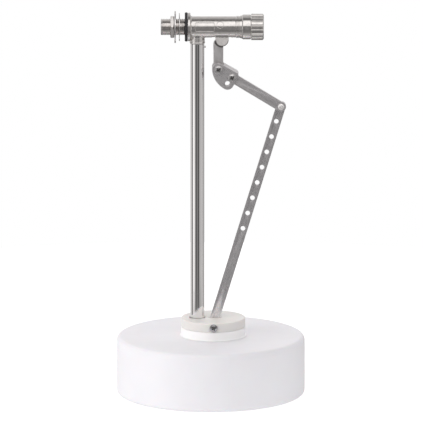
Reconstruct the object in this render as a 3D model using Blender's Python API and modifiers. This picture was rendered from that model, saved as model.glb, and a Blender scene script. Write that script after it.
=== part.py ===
"""Vertical piston float valve for a water tank.

A horizontal valve body carries a straight outlet tube.  A puck-shaped float slides up that tube and,
through a level bar, an arm and a lever, pushes the piston against its seat.

Metres.  +X runs along the valve towards its end cap, +Y points away from the side with the screw heads,
+Z is up.  The origin is the centre of the float's underside, which is also where the tube ends.
"""

import math

import bmesh
import bpy
from mathutils import Matrix

MM = 0.001
GAP = 0.3 * MM                      # free space between neighbouring pieces

# ---------------------------------------------------------------- valve body, along X
VALVE_Z = 467.2 * MM                # height of the valve's axis
THREAD_R = 10.4775 * MM             # G 1/2 pipe thread, major radius
INLET_X = -62.3 * MM
FLANGE_X = -28.5 * MM               # face that clamps on the tank wall
BARREL_X = -25.4 * MM
BARREL_END_X = 31.5 * MM
BODY_END_X = 58.0 * MM
FLANGE_R = 17.8 * MM
BARREL_R = 13.25 * MM
SPIGOT_R = 10.9 * MM                # threaded end that carries the collar and the end cap
INLET_BORE_R = 7.0 * MM
CHAMBER_R = 8.6 * MM
COLLAR_END_X = 50.0 * MM
COLLAR_R = 15.5 * MM
CAP_END_X = 66.1 * MM
CAP_R = 16.5 * MM
CAP_FLUTES = 20
CAP_FLUTE_DEPTH = 0.9 * MM
CAP_FLOOR_X = 60.0 * MM

# ---------------------------------------------------------------- outlet boss and tube, along Z
TUBE_X = -16.8 * MM
TUBE_R = 8.75 * MM
TUBE_BORE_R = 7.6 * MM
BOSS_R = 9.3 * MM
BOSS_END_Z = 446.8 * MM
BOSS_SPIGOT_R = 7.3 * MM
BOSS_SPIGOT_END_Z = 432.0 * MM
BOSS_BORE_R = 5.0 * MM
SET_SCREW_Z = 442.0 * MM
SET_SCREW_R = 1.2 * MM
TUBE_RING_Z = 436.0 * MM            # O-ring on the spigot

# ---------------------------------------------------------------- loose fittings on the inlet thread
NUT_X = (-50.4 * MM, -45.6 * MM)
NUT_ACROSS_FLATS = 27.0 * MM
NUT_TURN = math.radians(20.0)
NUT_WASHER_X = (-45.3 * MM, -43.5 * MM)
NUT_WASHER_R = 20.0 * MM
THIN_WASHER_X = (-39.7 * MM, -38.6 * MM)
THIN_WASHER_R = 17.5 * MM
GASKET_X = (-32.4 * MM, -28.8 * MM)
GASKET_R = 18.2 * MM

# ---------------------------------------------------------------- linkage, points given as (X, Z)
LEVER_PIVOT = (14.0 * MM, 452.4 * MM)
SCREW_UPPER = (9.5 * MM, 414.8 * MM)
SCREW_LOWER = (26.5 * MM, 404.4 * MM)
SPARE_HOLE = (20.9 * MM, 396.9 * MM)
ARM_PIN = (87.75 * MM, 367.0 * MM)
BAR_PIN = (3.6 * MM, 91.2 * MM)
LUG_HALF_DEPTH = 10.0 * MM
LUG_R = 8.3 * MM
SLOT_HALF_DEPTH = 5.4 * MM
LEVER_HALF_DEPTH = 5.0 * MM
LEVER_R = 6.1 * MM                  # half the lever's width
LEVER_HUB_R = 5.6 * MM
FINGER_HALF_DEPTH = 2.4 * MM
FINGER_TIP_R = 3.2 * MM
FINGER_NECK = 2.2 * MM              # half width of the finger below its tip
BRACKET_HALF_DEPTH = 9.5 * MM
SHEET = 1.5 * MM                    # sheet thickness of the bracket
ARM_Y = (-7.7 * MM, -5.4 * MM)
BAR_Y = (-2.4 * MM, -0.4 * MM)
ARM_HALF_WIDTH = 6.1 * MM
BAR_HALF_WIDTH = 6.0 * MM
BAR_HOLE_R = 2.9 * MM
BAR_HOLE_PITCH = 20.4 * MM
BAR_HOLES = 8                       # open holes below the riveted one
BAR_EYE_R = 3.3 * MM                # the eye at the float is a loose slot
BAR_EYE_SLACK = 0.8 * MM            # half its extra length
M5_R = 2.5 * MM
M5_HOLE_R = 2.8 * MM
PIN_R = 2.0 * MM
PIN_HOLE_R = 2.3 * MM
RIVET_R = 2.6 * MM

# ---------------------------------------------------------------- piston, along X
PISTON_X = (-12.9 * MM, 32.0 * MM)
PISTON_R = 8.2 * MM
SEAT_LIP_X = -18.3 * MM

# ---------------------------------------------------------------- float
FLOAT_R = 117.7 * MM
FLOAT_H = 74.0 * MM
FLOAT_TOP_FILLET = 5.4 * MM
FLOAT_FOOT_FILLET = 6.2 * MM
FLOAT_WALL = 2.6 * MM
NECK_X = 3.0 * MM                   # the neck and the cap sit a little off the float's axis
NECK_R = 40.2 * MM
NECK_TOP_Z = 85.5 * MM
CAP_TOP_Z = 97.0 * MM
CAP_WALL = 3.0 * MM
CAP_ROOF = 2.0 * MM
SLEEVE_BORE_R = 10.0 * MM
SLEEVE_R = 11.5 * MM

TINY = 16                           # facets round a turned piece, by its size
SMALL = 20
MEDIUM = 32
LARGE = 56

# turning axes: profile heights run along +X, towards the front (-Y), or up
AXIS_ROTATION = {"X": (0.0, math.pi / 2, 0.0), "Y": (math.pi / 2, 0.0, 0.0), "Z": (0.0, 0.0, 0.0)}


# ================================================================ scene set-up
def clear_scene():
    for obj in list(bpy.data.objects):
        bpy.data.objects.remove(obj, do_unlink=True)


def new_collection(name):
    collection = bpy.data.collections.new(name)
    bpy.context.scene.collection.children.link(collection)
    return collection


def material(name, colour, roughness, metallic):
    mat = bpy.data.materials.new(name)
    mat.use_nodes = True
    shader = mat.node_tree.nodes["Principled BSDF"]
    shader.inputs["Base Color"].default_value = (*colour, 1.0)
    shader.inputs["Roughness"].default_value = roughness
    shader.inputs["Metallic"].default_value = metallic
    mat.diffuse_color = (*colour, 1.0)
    return mat


# ================================================================ outlines in a plane
def arc(centre, radius, start, end, steps=8):
    """Points on a circle from one angle to another, in degrees, both ends included."""
    angles = [math.radians(start + (end - start) * i / steps) for i in range(steps + 1)]
    return [(centre[0] + radius * math.cos(a), centre[1] + radius * math.sin(a)) for a in angles]


def circle(centre, radius, steps=SMALL):
    return arc(centre, radius, 0, 360, steps)[:-1]


def direction(start, end):
    """Angle of the line between two points, in degrees."""
    return math.degrees(math.atan2(end[1] - start[1], end[0] - start[0]))


def stadium(start, end, radius, steps=10):
    """Outline of a bar with round ends about two points."""
    along = direction(start, end)
    first = arc(start, radius, along + 90, along + 270, steps)
    return first + arc(end, radius, along - 90, along + 90, steps)


def tangent_normal(first, first_r, second, second_r):
    """Angle of the outward normal shared by two circles, on the right of the way from first to second."""
    lean = math.degrees(math.acos((first_r - second_r) / math.dist(first, second)))
    return direction(first, second) - lean


def between(start, end, share):
    return tuple(a + (b - a) * share for a, b in zip(start, end))


# ================================================================ solids
def add(name, data, mat, collection):
    obj = bpy.data.objects.new(name, data)
    if mat:
        data.materials.append(mat)
    collection.objects.link(obj)
    return obj


def turned(name, profile, axis="Z", centre=(0.0, 0.0, 0.0), segments=SMALL, mat=None, collection=None):
    """A profile of (radius, height) spun about an axis: down its outer side, then up its bore."""
    mesh = bpy.data.meshes.new(name)
    count = len(profile)
    edges = [(i, i + 1) for i in range(count - 1)]
    if profile[0][0] > 0.0:
        edges.append((count - 1, 0))
    mesh.from_pydata([(radius, 0.0, height) for radius, height in profile], edges, [])
    obj = add(name, mesh, mat, collection)
    screw = obj.modifiers.new("Turn", "SCREW")
    screw.axis = "Z"
    screw.angle = 2 * math.pi
    screw.steps = segments
    screw.render_steps = segments
    screw.use_merge_vertices = True
    screw.merge_threshold = 0.00001
    obj.rotation_euler = AXIS_ROTATION[axis]
    obj.location = centre
    return obj


def rod(name, radius, low, high, axis="Z", centre=(0.0, 0.0, 0.0), segments=SMALL, mat=None, collection=None):
    profile = [(0.0, high), (radius, high), (radius, low), (0.0, low)]
    return turned(name, profile, axis, centre, segments, mat, collection)


def ring(name, outer, inner, low, high, axis="Z", centre=(0.0, 0.0, 0.0), segments=SMALL, mat=None,
         collection=None):
    profile = [(outer, high), (outer, low), (inner, low), (inner, high)]
    return turned(name, profile, axis, centre, segments, mat, collection)


def o_ring(name, radius, section, height, axis, centre, mat, collection):
    """A round-section ring, its section spun clockwise so that its faces point out."""
    section_points = [(radius + section * math.cos(a), height + section * math.sin(a))
                      for a in (-2 * math.pi * i / 8 for i in range(8))]
    return turned(name, section_points, axis, centre, SMALL, mat, collection)


def plate(name, outlines, low, high, plane="XZ", mat=None, collection=None):
    """Flat outlines, the first one outside and the others holes, given a thickness.

    In the XZ plane the thickness runs along Y, and in the YZ plane it runs along X.
    """
    curve = bpy.data.curves.new(name, "CURVE")
    curve.dimensions = "2D"
    curve.fill_mode = "BOTH"
    curve.extrude = (high - low) / 2
    for points in outlines:
        spline = curve.splines.new("POLY")
        spline.points.add(len(points) - 1)
        for point, (u, v) in zip(spline.points, points):
            point.co = (u, v, 0.0, 1.0)
        spline.use_cyclic_u = True
    obj = add(name, curve, None, collection)
    middle = (low + high) / 2
    if plane == "XZ":
        obj.rotation_euler = (math.pi / 2, 0.0, 0.0)
        obj.location = (0.0, middle, 0.0)
    else:
        obj.rotation_euler = (math.pi / 2, 0.0, math.pi / 2)
        obj.location = (middle, 0.0, 0.0)
    return curve_to_mesh(obj, mat)


def curve_to_mesh(obj, mat):
    """The same solid as a mesh with welded caps."""
    bpy.context.view_layer.update()
    evaluated = obj.evaluated_get(bpy.context.evaluated_depsgraph_get())
    mesh = bpy.data.meshes.new_from_object(evaluated)
    shape = bmesh.new()
    shape.from_mesh(mesh)
    bmesh.ops.remove_doubles(shape, verts=shape.verts, dist=0.00001)
    bmesh.ops.recalc_face_normals(shape, faces=shape.faces)
    shape.to_mesh(mesh)
    shape.free()
    mesh.materials.clear()
    name = obj.name
    collection = obj.users_collection[0]
    world = obj.matrix_world.copy()
    curve = obj.data
    bpy.data.objects.remove(obj)
    bpy.data.curves.remove(curve)
    solid = add(name, mesh, mat, collection)
    solid.matrix_world = world
    return solid


def box(name, low, high, collection):
    mesh = bpy.data.meshes.new(name)
    shape = bmesh.new()
    bmesh.ops.create_cube(shape, size=1.0)
    size = [b - a for a, b in zip(low, high)]
    middle = [(a + b) / 2 for a, b in zip(low, high)]
    place = Matrix.Translation(middle) @ Matrix.Diagonal((*size, 1.0))
    bmesh.ops.transform(shape, matrix=place, verts=shape.verts)
    shape.to_mesh(mesh)
    shape.free()
    return add(name, mesh, None, collection)


def combine(target, operation, tools):
    """Join helper shapes to a piece, or cut them out of it."""
    for tool in tools:
        tool.hide_render = True
        tool.display_type = "WIRE"
        boolean = target.modifiers.new(tool.name, "BOOLEAN")
        boolean.operation = operation
        boolean.solver = "EXACT"
        boolean.object = tool
    return target


def smooth(obj):
    """Fix the shape as a mesh, with smooth shading across its shallow edges only."""
    bpy.context.view_layer.update()
    evaluated = obj.evaluated_get(bpy.context.evaluated_depsgraph_get())
    mesh = bpy.data.meshes.new_from_object(evaluated)
    mesh.name = obj.name
    obj.modifiers.clear()
    obj.data = mesh
    mesh.shade_smooth()
    mesh.set_sharp_from_angle(angle=math.radians(30.0))
    return obj


def carry(name, location, pieces, collection, parent=None):
    """An empty on a joint's axis that carries the pieces which move with it."""
    empty = bpy.data.objects.new(name, None)
    empty.empty_display_size = 0.02
    empty.location = location
    collection.objects.link(empty)
    bpy.context.view_layer.update()
    if parent:
        hang(empty, parent)
    for piece in pieces:
        hang(piece, empty)
    return empty


def hang(child, parent):
    child.parent = parent
    child.matrix_parent_inverse = parent.matrix_world.inverted()
    bpy.context.view_layer.update()


# ================================================================ the pieces
class Valve:
    """Everything the valve body carries, with the body itself."""

    def __init__(self, parts, cutters, mats):
        self.parts = parts
        self.cutters = cutters
        self.nickel = mats["nickel"]
        self.brass = mats["brass"]
        self.steel = mats["steel"]
        self.rubber = mats["rubber"]
        self.chrome = mats["chrome"]
        self.nylon = mats["nylon"]
        self.axis = (0.0, 0.0, VALVE_Z)
        self.tube_axis = (TUBE_X, 0.0, 0.0)

    def body(self):
        chamfer = 1.0 * MM
        outside = [(0.0, BODY_END_X), (SPIGOT_R, BODY_END_X), (SPIGOT_R, BARREL_END_X),
                   (BARREL_R, BARREL_END_X), (BARREL_R, BARREL_X), (FLANGE_R, BARREL_X),
                   (FLANGE_R, FLANGE_X), (THREAD_R, FLANGE_X), (THREAD_R, INLET_X + chamfer),
                   (THREAD_R - chamfer, INLET_X), (0.0, INLET_X)]
        body = turned("valve_body", outside, "X", self.axis, MEDIUM, self.nickel, self.parts)
        combine(body, "UNION", [self.boss(), self.lug()])
        combine(body, "DIFFERENCE", [self.bore(), self.boss_bore(), self.lever_slot(), self.pin_hole(),
                                     self.set_screw_hole()])
        return smooth(body)

    def boss(self):
        """The outlet boss, its spigot and the O-ring groove round the spigot."""
        groove_r = BOSS_SPIGOT_R - 1.3 * MM
        groove = 1.2 * MM
        profile = [(0.0, VALVE_Z - 4 * MM), (BOSS_R, VALVE_Z - 4 * MM), (BOSS_R, BOSS_END_Z),
                   (BOSS_SPIGOT_R, BOSS_END_Z), (BOSS_SPIGOT_R, TUBE_RING_Z + groove),
                   (groove_r, TUBE_RING_Z + groove), (groove_r, TUBE_RING_Z - groove),
                   (BOSS_SPIGOT_R, TUBE_RING_Z - groove), (BOSS_SPIGOT_R, BOSS_SPIGOT_END_Z),
                   (0.0, BOSS_SPIGOT_END_Z)]
        return turned("boss_form", profile, "Z", self.tube_axis, MEDIUM, None, self.cutters)

    def lug(self):
        top = VALVE_Z - 5.0 * MM
        outline = arc(LEVER_PIVOT, LUG_R, 180, 360, 12)
        outline += [(LEVER_PIVOT[0] + LUG_R, top), (LEVER_PIVOT[0] - LUG_R, top)]
        return plate("lug_form", [outline], -LUG_HALF_DEPTH, LUG_HALF_DEPTH, "XZ", None, self.cutters)

    def bore(self):
        past = 1.0 * MM
        profile = [(0.0, BODY_END_X + past), (CHAMBER_R, BODY_END_X + past), (CHAMBER_R, BARREL_X),
                   (INLET_BORE_R, BARREL_X), (INLET_BORE_R, INLET_X - past), (0.0, INLET_X - past)]
        return turned("bore_cut", profile, "X", self.axis, MEDIUM, None, self.cutters)

    def boss_bore(self):
        return rod("boss_bore_cut", BOSS_BORE_R, BOSS_SPIGOT_END_Z - MM, VALVE_Z, "Z", self.tube_axis, SMALL,
                   None, self.cutters)

    def lever_slot(self):
        low = (1.6 * MM, -SLOT_HALF_DEPTH, LEVER_PIVOT[1] - 12 * MM)
        high = (25.0 * MM, SLOT_HALF_DEPTH, VALVE_Z - 5.0 * MM)
        return box("lever_slot_cut", low, high, self.cutters)

    def pin_hole(self):
        """Blind from behind, so the front cheek stays plain."""
        return rod("pin_hole_cut", PIN_HOLE_R, -11.0 * MM, 8.8 * MM, "Y",
                   (LEVER_PIVOT[0], 0.0, LEVER_PIVOT[1]), SMALL, None, self.cutters)

    def set_screw_hole(self):
        return rod("set_screw_cut", SET_SCREW_R + GAP, 3.0 * MM, 9.0 * MM, "X", (TUBE_X, 0.0, SET_SCREW_Z),
                   TINY, None, self.cutters)

    def seat(self):
        nozzle_r = 4.0 * MM
        orifice_r = 2.5 * MM
        flange_end = BARREL_X + 3.0 * MM
        profile = [(nozzle_r, SEAT_LIP_X), (nozzle_r, flange_end), (CHAMBER_R - GAP, flange_end),
                   (CHAMBER_R - GAP, BARREL_X + GAP), (orifice_r, BARREL_X + GAP), (orifice_r, SEAT_LIP_X)]
        return smooth(turned("inlet_seat", profile, "X", self.axis, SMALL, self.nylon, self.parts))

    def collar(self):
        inner = SPIGOT_R + GAP
        start = BARREL_END_X + GAP
        profile = [(COLLAR_R - 0.5 * MM, COLLAR_END_X), (COLLAR_R, COLLAR_END_X - 0.6 * MM),
                   (COLLAR_R, 40.0 * MM), (COLLAR_R - 0.9 * MM, 39.2 * MM), (13.9 * MM, 34.6 * MM),
                   (13.3 * MM, 34.2 * MM), (13.3 * MM, 33.6 * MM), (13.8 * MM, 33.2 * MM),
                   (13.8 * MM, start), (inner, start), (inner, COLLAR_END_X)]
        return smooth(turned("cylinder_collar", profile, "X", self.axis, MEDIUM, self.nickel, self.parts))

    def end_cap(self):
        """A knob with round-bottomed flutes, its outline a raised cosine round the circle."""
        steps = CAP_FLUTES * 8
        outline = []
        for i in range(steps):
            angle = 2 * math.pi * i / steps
            dip = max(0.0, math.cos(CAP_FLUTES * angle)) * CAP_FLUTE_DEPTH
            radius = CAP_R - dip
            outline.append((radius * math.cos(angle), VALVE_Z + radius * math.sin(angle)))
        start = COLLAR_END_X + GAP
        knob = plate("end_cap", [outline], start, CAP_END_X, "YZ", self.nickel, self.parts)
        past = CAP_R + 1.0 * MM
        profile = [(0.0, CAP_END_X), (CAP_R - 1.2 * MM, CAP_END_X), (past, CAP_END_X - 2.2 * MM),
                   (past, start), (0.0, start)]
        blank = turned("end_cap_blank", profile, "X", self.axis, MEDIUM, None, self.cutters)
        hollow = rod("end_cap_bore_cut", SPIGOT_R + GAP, start - MM, CAP_FLOOR_X, "X", self.axis, MEDIUM,
                     None, self.cutters)
        combine(knob, "INTERSECT", [blank])
        combine(knob, "DIFFERENCE", [hollow])
        return smooth(knob)

    def cap_gasket(self):
        return smooth(ring("cap_gasket", SPIGOT_R - 0.3 * MM, 6.5 * MM, BODY_END_X + GAP, CAP_FLOOR_X - GAP,
                           "X", self.axis, SMALL, self.rubber, self.parts))

    def tube(self):
        tube = ring("outlet_tube", TUBE_R, TUBE_BORE_R, 0.0, BOSS_END_Z - GAP, "Z", self.tube_axis, MEDIUM,
                    self.chrome, self.parts)
        hole = rod("tube_hole_cut", SET_SCREW_R + GAP, 5.0 * MM, 12.0 * MM, "X", (TUBE_X, 0.0, SET_SCREW_Z),
                   TINY, None, self.cutters)
        return smooth(combine(tube, "DIFFERENCE", [hole]))

    def tube_set_screw(self):
        return smooth(rod("tube_set_screw", SET_SCREW_R, 5.7 * MM, TUBE_R + 2.1 * MM, "X",
                          (TUBE_X, 0.0, SET_SCREW_Z), TINY, self.steel, self.parts))

    def tube_o_ring(self):
        section = 0.5 * MM
        radius = BOSS_SPIGOT_R - 0.7 * MM
        return smooth(o_ring("tube_o_ring", radius, section, TUBE_RING_Z, "Z", self.tube_axis, self.rubber,
                             self.parts))

    def lever_pin(self):
        """Headed pin pushed in from behind."""
        head_r = 3.4 * MM
        behind = -LUG_HALF_DEPTH - GAP
        profile = [(0.0, 8.5 * MM), (PIN_R, 8.5 * MM), (PIN_R, behind), (head_r, behind),
                   (head_r, behind - 1.4 * MM), (0.0, behind - 1.4 * MM)]
        return smooth(turned("lever_pin", profile, "Y", (LEVER_PIVOT[0], 0.0, LEVER_PIVOT[1]), SMALL,
                             self.steel, self.parts))

    def piston(self):
        start, end = PISTON_X
        recess_r = 6.8 * MM
        recess = 2.5 * MM
        groove_r = 6.3 * MM
        profile = [(0.0, end), (PISTON_R, end), (PISTON_R, -3.4 * MM), (groove_r, -3.4 * MM),
                   (groove_r, -6.0 * MM), (PISTON_R, -6.0 * MM), (PISTON_R, start), (recess_r, start),
                   (recess_r, start + recess), (0.0, start + recess)]
        piston = turned("piston", profile, "X", self.axis, MEDIUM, self.brass, self.parts)
        slot = box("piston_slot_cut", (LEVER_PIVOT[0] - 3.6 * MM, -2.8 * MM, VALVE_Z - 10 * MM),
                   (LEVER_PIVOT[0] + 5.6 * MM, 2.8 * MM, VALVE_Z + 4.4 * MM), self.cutters)
        return smooth(combine(piston, "DIFFERENCE", [slot]))

    def piston_seal(self):
        start = PISTON_X[0]
        return smooth(rod("piston_seal", 6.5 * MM, start - 0.3 * MM, start + 2.2 * MM, "X", self.axis, SMALL,
                          self.rubber, self.parts))

    def piston_o_ring(self):
        return smooth(o_ring("piston_o_ring", 7.35 * MM, 0.72 * MM, -4.7 * MM, "X", self.axis, self.rubber,
                             self.parts))


def lock_nut(mats, parts):
    corner_r = NUT_ACROSS_FLATS / 2 / math.cos(math.pi / 6)
    corners = [(corner_r * math.sin(NUT_TURN + i * math.pi / 3),
                VALVE_Z + corner_r * math.cos(NUT_TURN + i * math.pi / 3)) for i in range(6)]
    hole = circle((0.0, VALVE_Z), THREAD_R + GAP, MEDIUM)
    return smooth(plate("lock_nut", [corners, hole], *NUT_X, "YZ", mats["nickel"], parts))


def inlet_washers(mats, parts):
    inner = THREAD_R + GAP
    axis = (0.0, 0.0, VALVE_Z)
    big = ring("nut_washer", NUT_WASHER_R, inner, *NUT_WASHER_X, "X", axis, MEDIUM, mats["nickel"], parts)
    thin = ring("thin_washer", THIN_WASHER_R, inner, *THIN_WASHER_X, "X", axis, MEDIUM, mats["nickel"], parts)
    gasket = ring("rubber_gasket", GASKET_R, inner, *GASKET_X, "X", axis, MEDIUM, mats["rubber"], parts)
    return [smooth(piece) for piece in (big, thin, gasket)]


# ---------------------------------------------------------------- linkage
def lever(mats, parts, cutters):
    """A cast crank: hub in the clevis, a finger up into the piston and a strip down to the bracket."""
    shoulder = (9.2 * MM, 445.0 * MM)
    hub_left = tangent_normal(LEVER_PIVOT, LEVER_HUB_R, shoulder, LEVER_R) % 360
    right_x = SCREW_UPPER[0] + LEVER_R
    hub_start = math.degrees(math.acos((right_x - LEVER_PIVOT[0]) / LEVER_HUB_R))
    outline = arc(LEVER_PIVOT, LEVER_HUB_R, -hub_start, hub_left, 14)
    outline += arc(shoulder, LEVER_R, hub_left, 180, 3)
    outline += arc(SCREW_UPPER, LEVER_R, 180, 360, 12)
    holes = [circle(LEVER_PIVOT, PIN_HOLE_R), circle(SCREW_UPPER, M5_HOLE_R)]
    crank = plate("lever", [outline] + holes, -LEVER_HALF_DEPTH, LEVER_HALF_DEPTH, "XZ", mats["steel"], parts)
    tip = (LEVER_PIVOT[0], VALVE_Z)
    root_z = LEVER_PIVOT[1] + 4.0 * MM
    finger_outline = arc(tip, FINGER_TIP_R, -43, 223, 12)
    finger_outline += [(tip[0] - FINGER_NECK, root_z), (tip[0] + FINGER_NECK, root_z)]
    finger = plate("finger_form", [finger_outline], -FINGER_HALF_DEPTH, FINGER_HALF_DEPTH, "XZ", None,
                   cutters)
    return smooth(combine(crank, "UNION", [finger]))


def bracket_outline():
    """Round the upper screw, down a wide arc to the spare hole, and back along the straight top edge."""
    upper_r = ARM_HALF_WIDTH + SHEET + GAP
    heel = (32.0 * MM, 416.7 * MM)
    heel_r = math.dist(heel, SCREW_UPPER) + upper_r
    spare_r = heel_r - math.dist(heel, SPARE_HOLE)
    corner = (29.9 * MM, 406.6 * MM)
    corner_r = 4.8 * MM
    top = tangent_normal(corner, corner_r, SCREW_UPPER, upper_r)
    side = tangent_normal(SPARE_HOLE, spare_r, corner, corner_r)
    upper_turn = direction(heel, SCREW_UPPER) % 360
    spare_turn = direction(heel, SPARE_HOLE) % 360
    points = arc(SCREW_UPPER, upper_r, top, upper_turn)
    points += arc(heel, heel_r, upper_turn, spare_turn)[1:]
    points += arc(SPARE_HOLE, spare_r, spare_turn, side + 360)[1:]
    points += arc(corner, corner_r, side, top)
    return points, corner, corner_r, top


def bracket(mats, parts, cutters):
    """A channel folded from one sheet: two cheeks joined by a web along their top edge."""
    outline, corner, corner_r, top = bracket_outline()
    holes = [circle(SCREW_UPPER, M5_HOLE_R), circle(SCREW_LOWER, M5_HOLE_R), circle(SPARE_HOLE, BAR_HOLE_R)]
    channel = plate("bracket", [outline] + holes, -BRACKET_HALF_DEPTH, BRACKET_HALF_DEPTH, "XZ",
                    mats["steel"], parts)
    normal = (math.cos(math.radians(top)), math.sin(math.radians(top)))
    web_length = 17.8 * MM
    past = 30.0 * MM
    under_web = arc(corner, corner_r - SHEET, 32, top)
    bend = under_web[-1]
    web_end = (bend[0] - normal[1] * web_length, bend[1] + normal[0] * web_length)
    left, right = SCREW_UPPER[0] - past, corner[0] + past
    bottom, above = SPARE_HOLE[1] - past, SCREW_UPPER[1] + past
    inside = under_web + [web_end, (web_end[0], above), (left, above), (left, bottom), (right, bottom),
                          (right, under_web[0][1])]
    inner = BRACKET_HALF_DEPTH - SHEET
    cut = plate("channel_cut", [inside], -inner, inner, "XZ", None, cutters)
    return smooth(combine(channel, "DIFFERENCE", [cut]))


def bracket_fasteners(mats, parts):
    """Pan-head screws from the front, nuts behind, and the spacers that fill the channel."""
    head_r = 5.0 * MM
    head = 3.0 * MM
    face = BRACKET_HALF_DEPTH + GAP
    shank_end = -14.6 * MM
    nut_r = 8.0 * MM / 2 / math.cos(math.pi / 6)
    rear_inner = BRACKET_HALF_DEPTH - SHEET
    pieces = []
    places = (("upper", SCREW_UPPER, LEVER_HALF_DEPTH + GAP), ("lower", SCREW_LOWER, ARM_Y[1] + GAP))
    for label, place, spacer_start in places:
        profile = [(0.0, face + head), (head_r - 1.2 * MM, face + head), (head_r, face + head - 1.4 * MM),
                   (head_r, face), (M5_R, face), (M5_R, shank_end), (0.0, shank_end)]
        centre = (place[0], 0.0, place[1])
        pieces.append(turned(f"{label}_screw", profile, "Y", centre, SMALL, mats["steel"], parts))
        corners = [(place[0] + nut_r * math.cos(i * math.pi / 3),
                    place[1] + nut_r * math.sin(i * math.pi / 3))
                   for i in range(6)]
        pieces.append(plate(f"{label}_nut", [corners, circle(place, M5_HOLE_R)], face, face + 4.0 * MM, "XZ",
                            mats["steel"], parts))
        pieces.append(ring(f"{label}_spacer", 4.6 * MM, M5_HOLE_R, -(rear_inner - GAP), -spacer_start, "Y",
                           centre, SMALL, mats["steel"], parts))
    return [smooth(piece) for piece in pieces]


def arm(mats, parts):
    holes = [circle(place, M5_HOLE_R) for place in (SCREW_UPPER, SCREW_LOWER)] + [circle(ARM_PIN, BAR_HOLE_R)]
    outline = stadium(SCREW_UPPER, ARM_PIN, ARM_HALF_WIDTH)
    return smooth(plate("arm", [outline] + holes, *ARM_Y, "XZ", mats["steel"], parts))


def arm_rivet(mats, parts):
    """Domed in front, peened behind the level bar."""
    head_r = 4.0 * MM
    front = -ARM_Y[0] + GAP
    back = -BAR_Y[1] - GAP
    profile = [(0.0, front + 1.6 * MM), (head_r - 1.3 * MM, front + 1.4 * MM), (head_r, front + 0.5 * MM),
               (head_r, front), (RIVET_R, front), (RIVET_R, back), (head_r - 0.3 * MM, back),
               (head_r - 0.8 * MM, back - 1.1 * MM), (0.0, back - 1.4 * MM)]
    centre = (ARM_PIN[0], 0.0, ARM_PIN[1])
    rivet = turned("arm_rivet", profile, "Y", centre, SMALL, mats["steel"], parts)
    washer = ring("rivet_washer", 4.6 * MM, BAR_HOLE_R, -(BAR_Y[0] - GAP), -(ARM_Y[1] + GAP), "Y", centre,
                  SMALL, mats["steel"], parts)
    return [smooth(rivet), smooth(washer)]


def level_bar(mats, parts):
    length = math.dist(ARM_PIN, BAR_PIN)
    holes = [circle(between(ARM_PIN, BAR_PIN, i * BAR_HOLE_PITCH / length), BAR_HOLE_R)
             for i in range(BAR_HOLES + 1)]
    slack = BAR_EYE_SLACK / length
    eye = stadium(between(ARM_PIN, BAR_PIN, 1 - slack), between(ARM_PIN, BAR_PIN, 1 + slack), BAR_EYE_R)
    outline = stadium(ARM_PIN, BAR_PIN, BAR_HALF_WIDTH)
    return smooth(plate("level_bar", [outline, eye] + holes, *BAR_Y, "XZ", mats["steel"], parts))


# ---------------------------------------------------------------- float
def float_shell(mats, parts, cutters):
    """A cup moulded upside down; its mouth is closed by the base plate."""
    inner_r = FLOAT_R - FLOAT_WALL
    mouth_r = 107.9 * MM
    top_centre = (FLOAT_R - FLOAT_TOP_FILLET, FLOAT_H - FLOAT_TOP_FILLET)
    foot_centre = (FLOAT_R - FLOAT_FOOT_FILLET, FLOAT_FOOT_FILLET)
    profile = [(0.0, FLOAT_H)] + arc(top_centre, FLOAT_TOP_FILLET, 90, 0, 6)
    profile += arc(foot_centre, FLOAT_FOOT_FILLET, 0, -90, 4)
    profile += [(mouth_r, 0.0), (mouth_r, 3.2 * MM), (inner_r, FLOAT_FOOT_FILLET)]
    profile += arc(top_centre, FLOAT_TOP_FILLET - FLOAT_WALL, 0, 90, 4) + [(0.0, FLOAT_H - FLOAT_WALL)]
    shell = turned("float_shell", profile, "Z", (0.0, 0.0, 0.0), LARGE, mats["white"], parts)
    hole = rod("shell_hole_cut", SLEEVE_R + GAP, FLOAT_H - 5 * MM, FLOAT_H + MM, "Z", (TUBE_X, 0.0, 0.0),
               MEDIUM, None, cutters)
    return smooth(combine(shell, "DIFFERENCE", [hole]))


def float_base(mats, parts, cutters):
    base = rod("float_base", 107.6 * MM, 0.0, 2.6 * MM, "Z", (0.0, 0.0, 0.0), LARGE, mats["white"], parts)
    hole = rod("base_hole_cut", SLEEVE_R + GAP, -MM, 4 * MM, "Z", (TUBE_X, 0.0, 0.0), MEDIUM, None, cutters)
    return smooth(combine(base, "DIFFERENCE", [hole]))


def float_sleeve(mats, parts):
    return smooth(ring("float_sleeve", SLEEVE_R, SLEEVE_BORE_R, 0.0, CAP_TOP_Z - CAP_ROOF - GAP, "Z",
                       (TUBE_X, 0.0, 0.0), MEDIUM, mats["white"], parts))


def float_neck(mats, parts, cutters):
    """The white step under the cap, flared where it meets the float."""
    flare = 1.6 * MM
    foot_z = FLOAT_H + GAP
    flare_centre = (NECK_R + flare, foot_z + flare)
    profile = [(0.0, NECK_TOP_Z), (NECK_R, NECK_TOP_Z)] + arc(flare_centre, flare, 180, 270, 5)
    profile.append((0.0, foot_z))
    neck = turned("float_neck", profile, "Z", (NECK_X, 0.0, 0.0), MEDIUM, mats["white"], parts)
    hole = rod("neck_hole_cut", SLEEVE_R + GAP, foot_z - MM, NECK_TOP_Z + MM, "Z", (TUBE_X, 0.0, 0.0),
               MEDIUM, None, cutters)
    pocket = box("neck_pocket_cut", (BAR_PIN[0] - 10 * MM, BAR_Y[0] - 2 * MM, NECK_TOP_Z - 4 * MM),
                 (BAR_PIN[0] + 10 * MM, BAR_Y[1] + 2 * MM, NECK_TOP_Z + MM), cutters)
    return smooth(combine(neck, "DIFFERENCE", [hole, pocket]))


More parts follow.
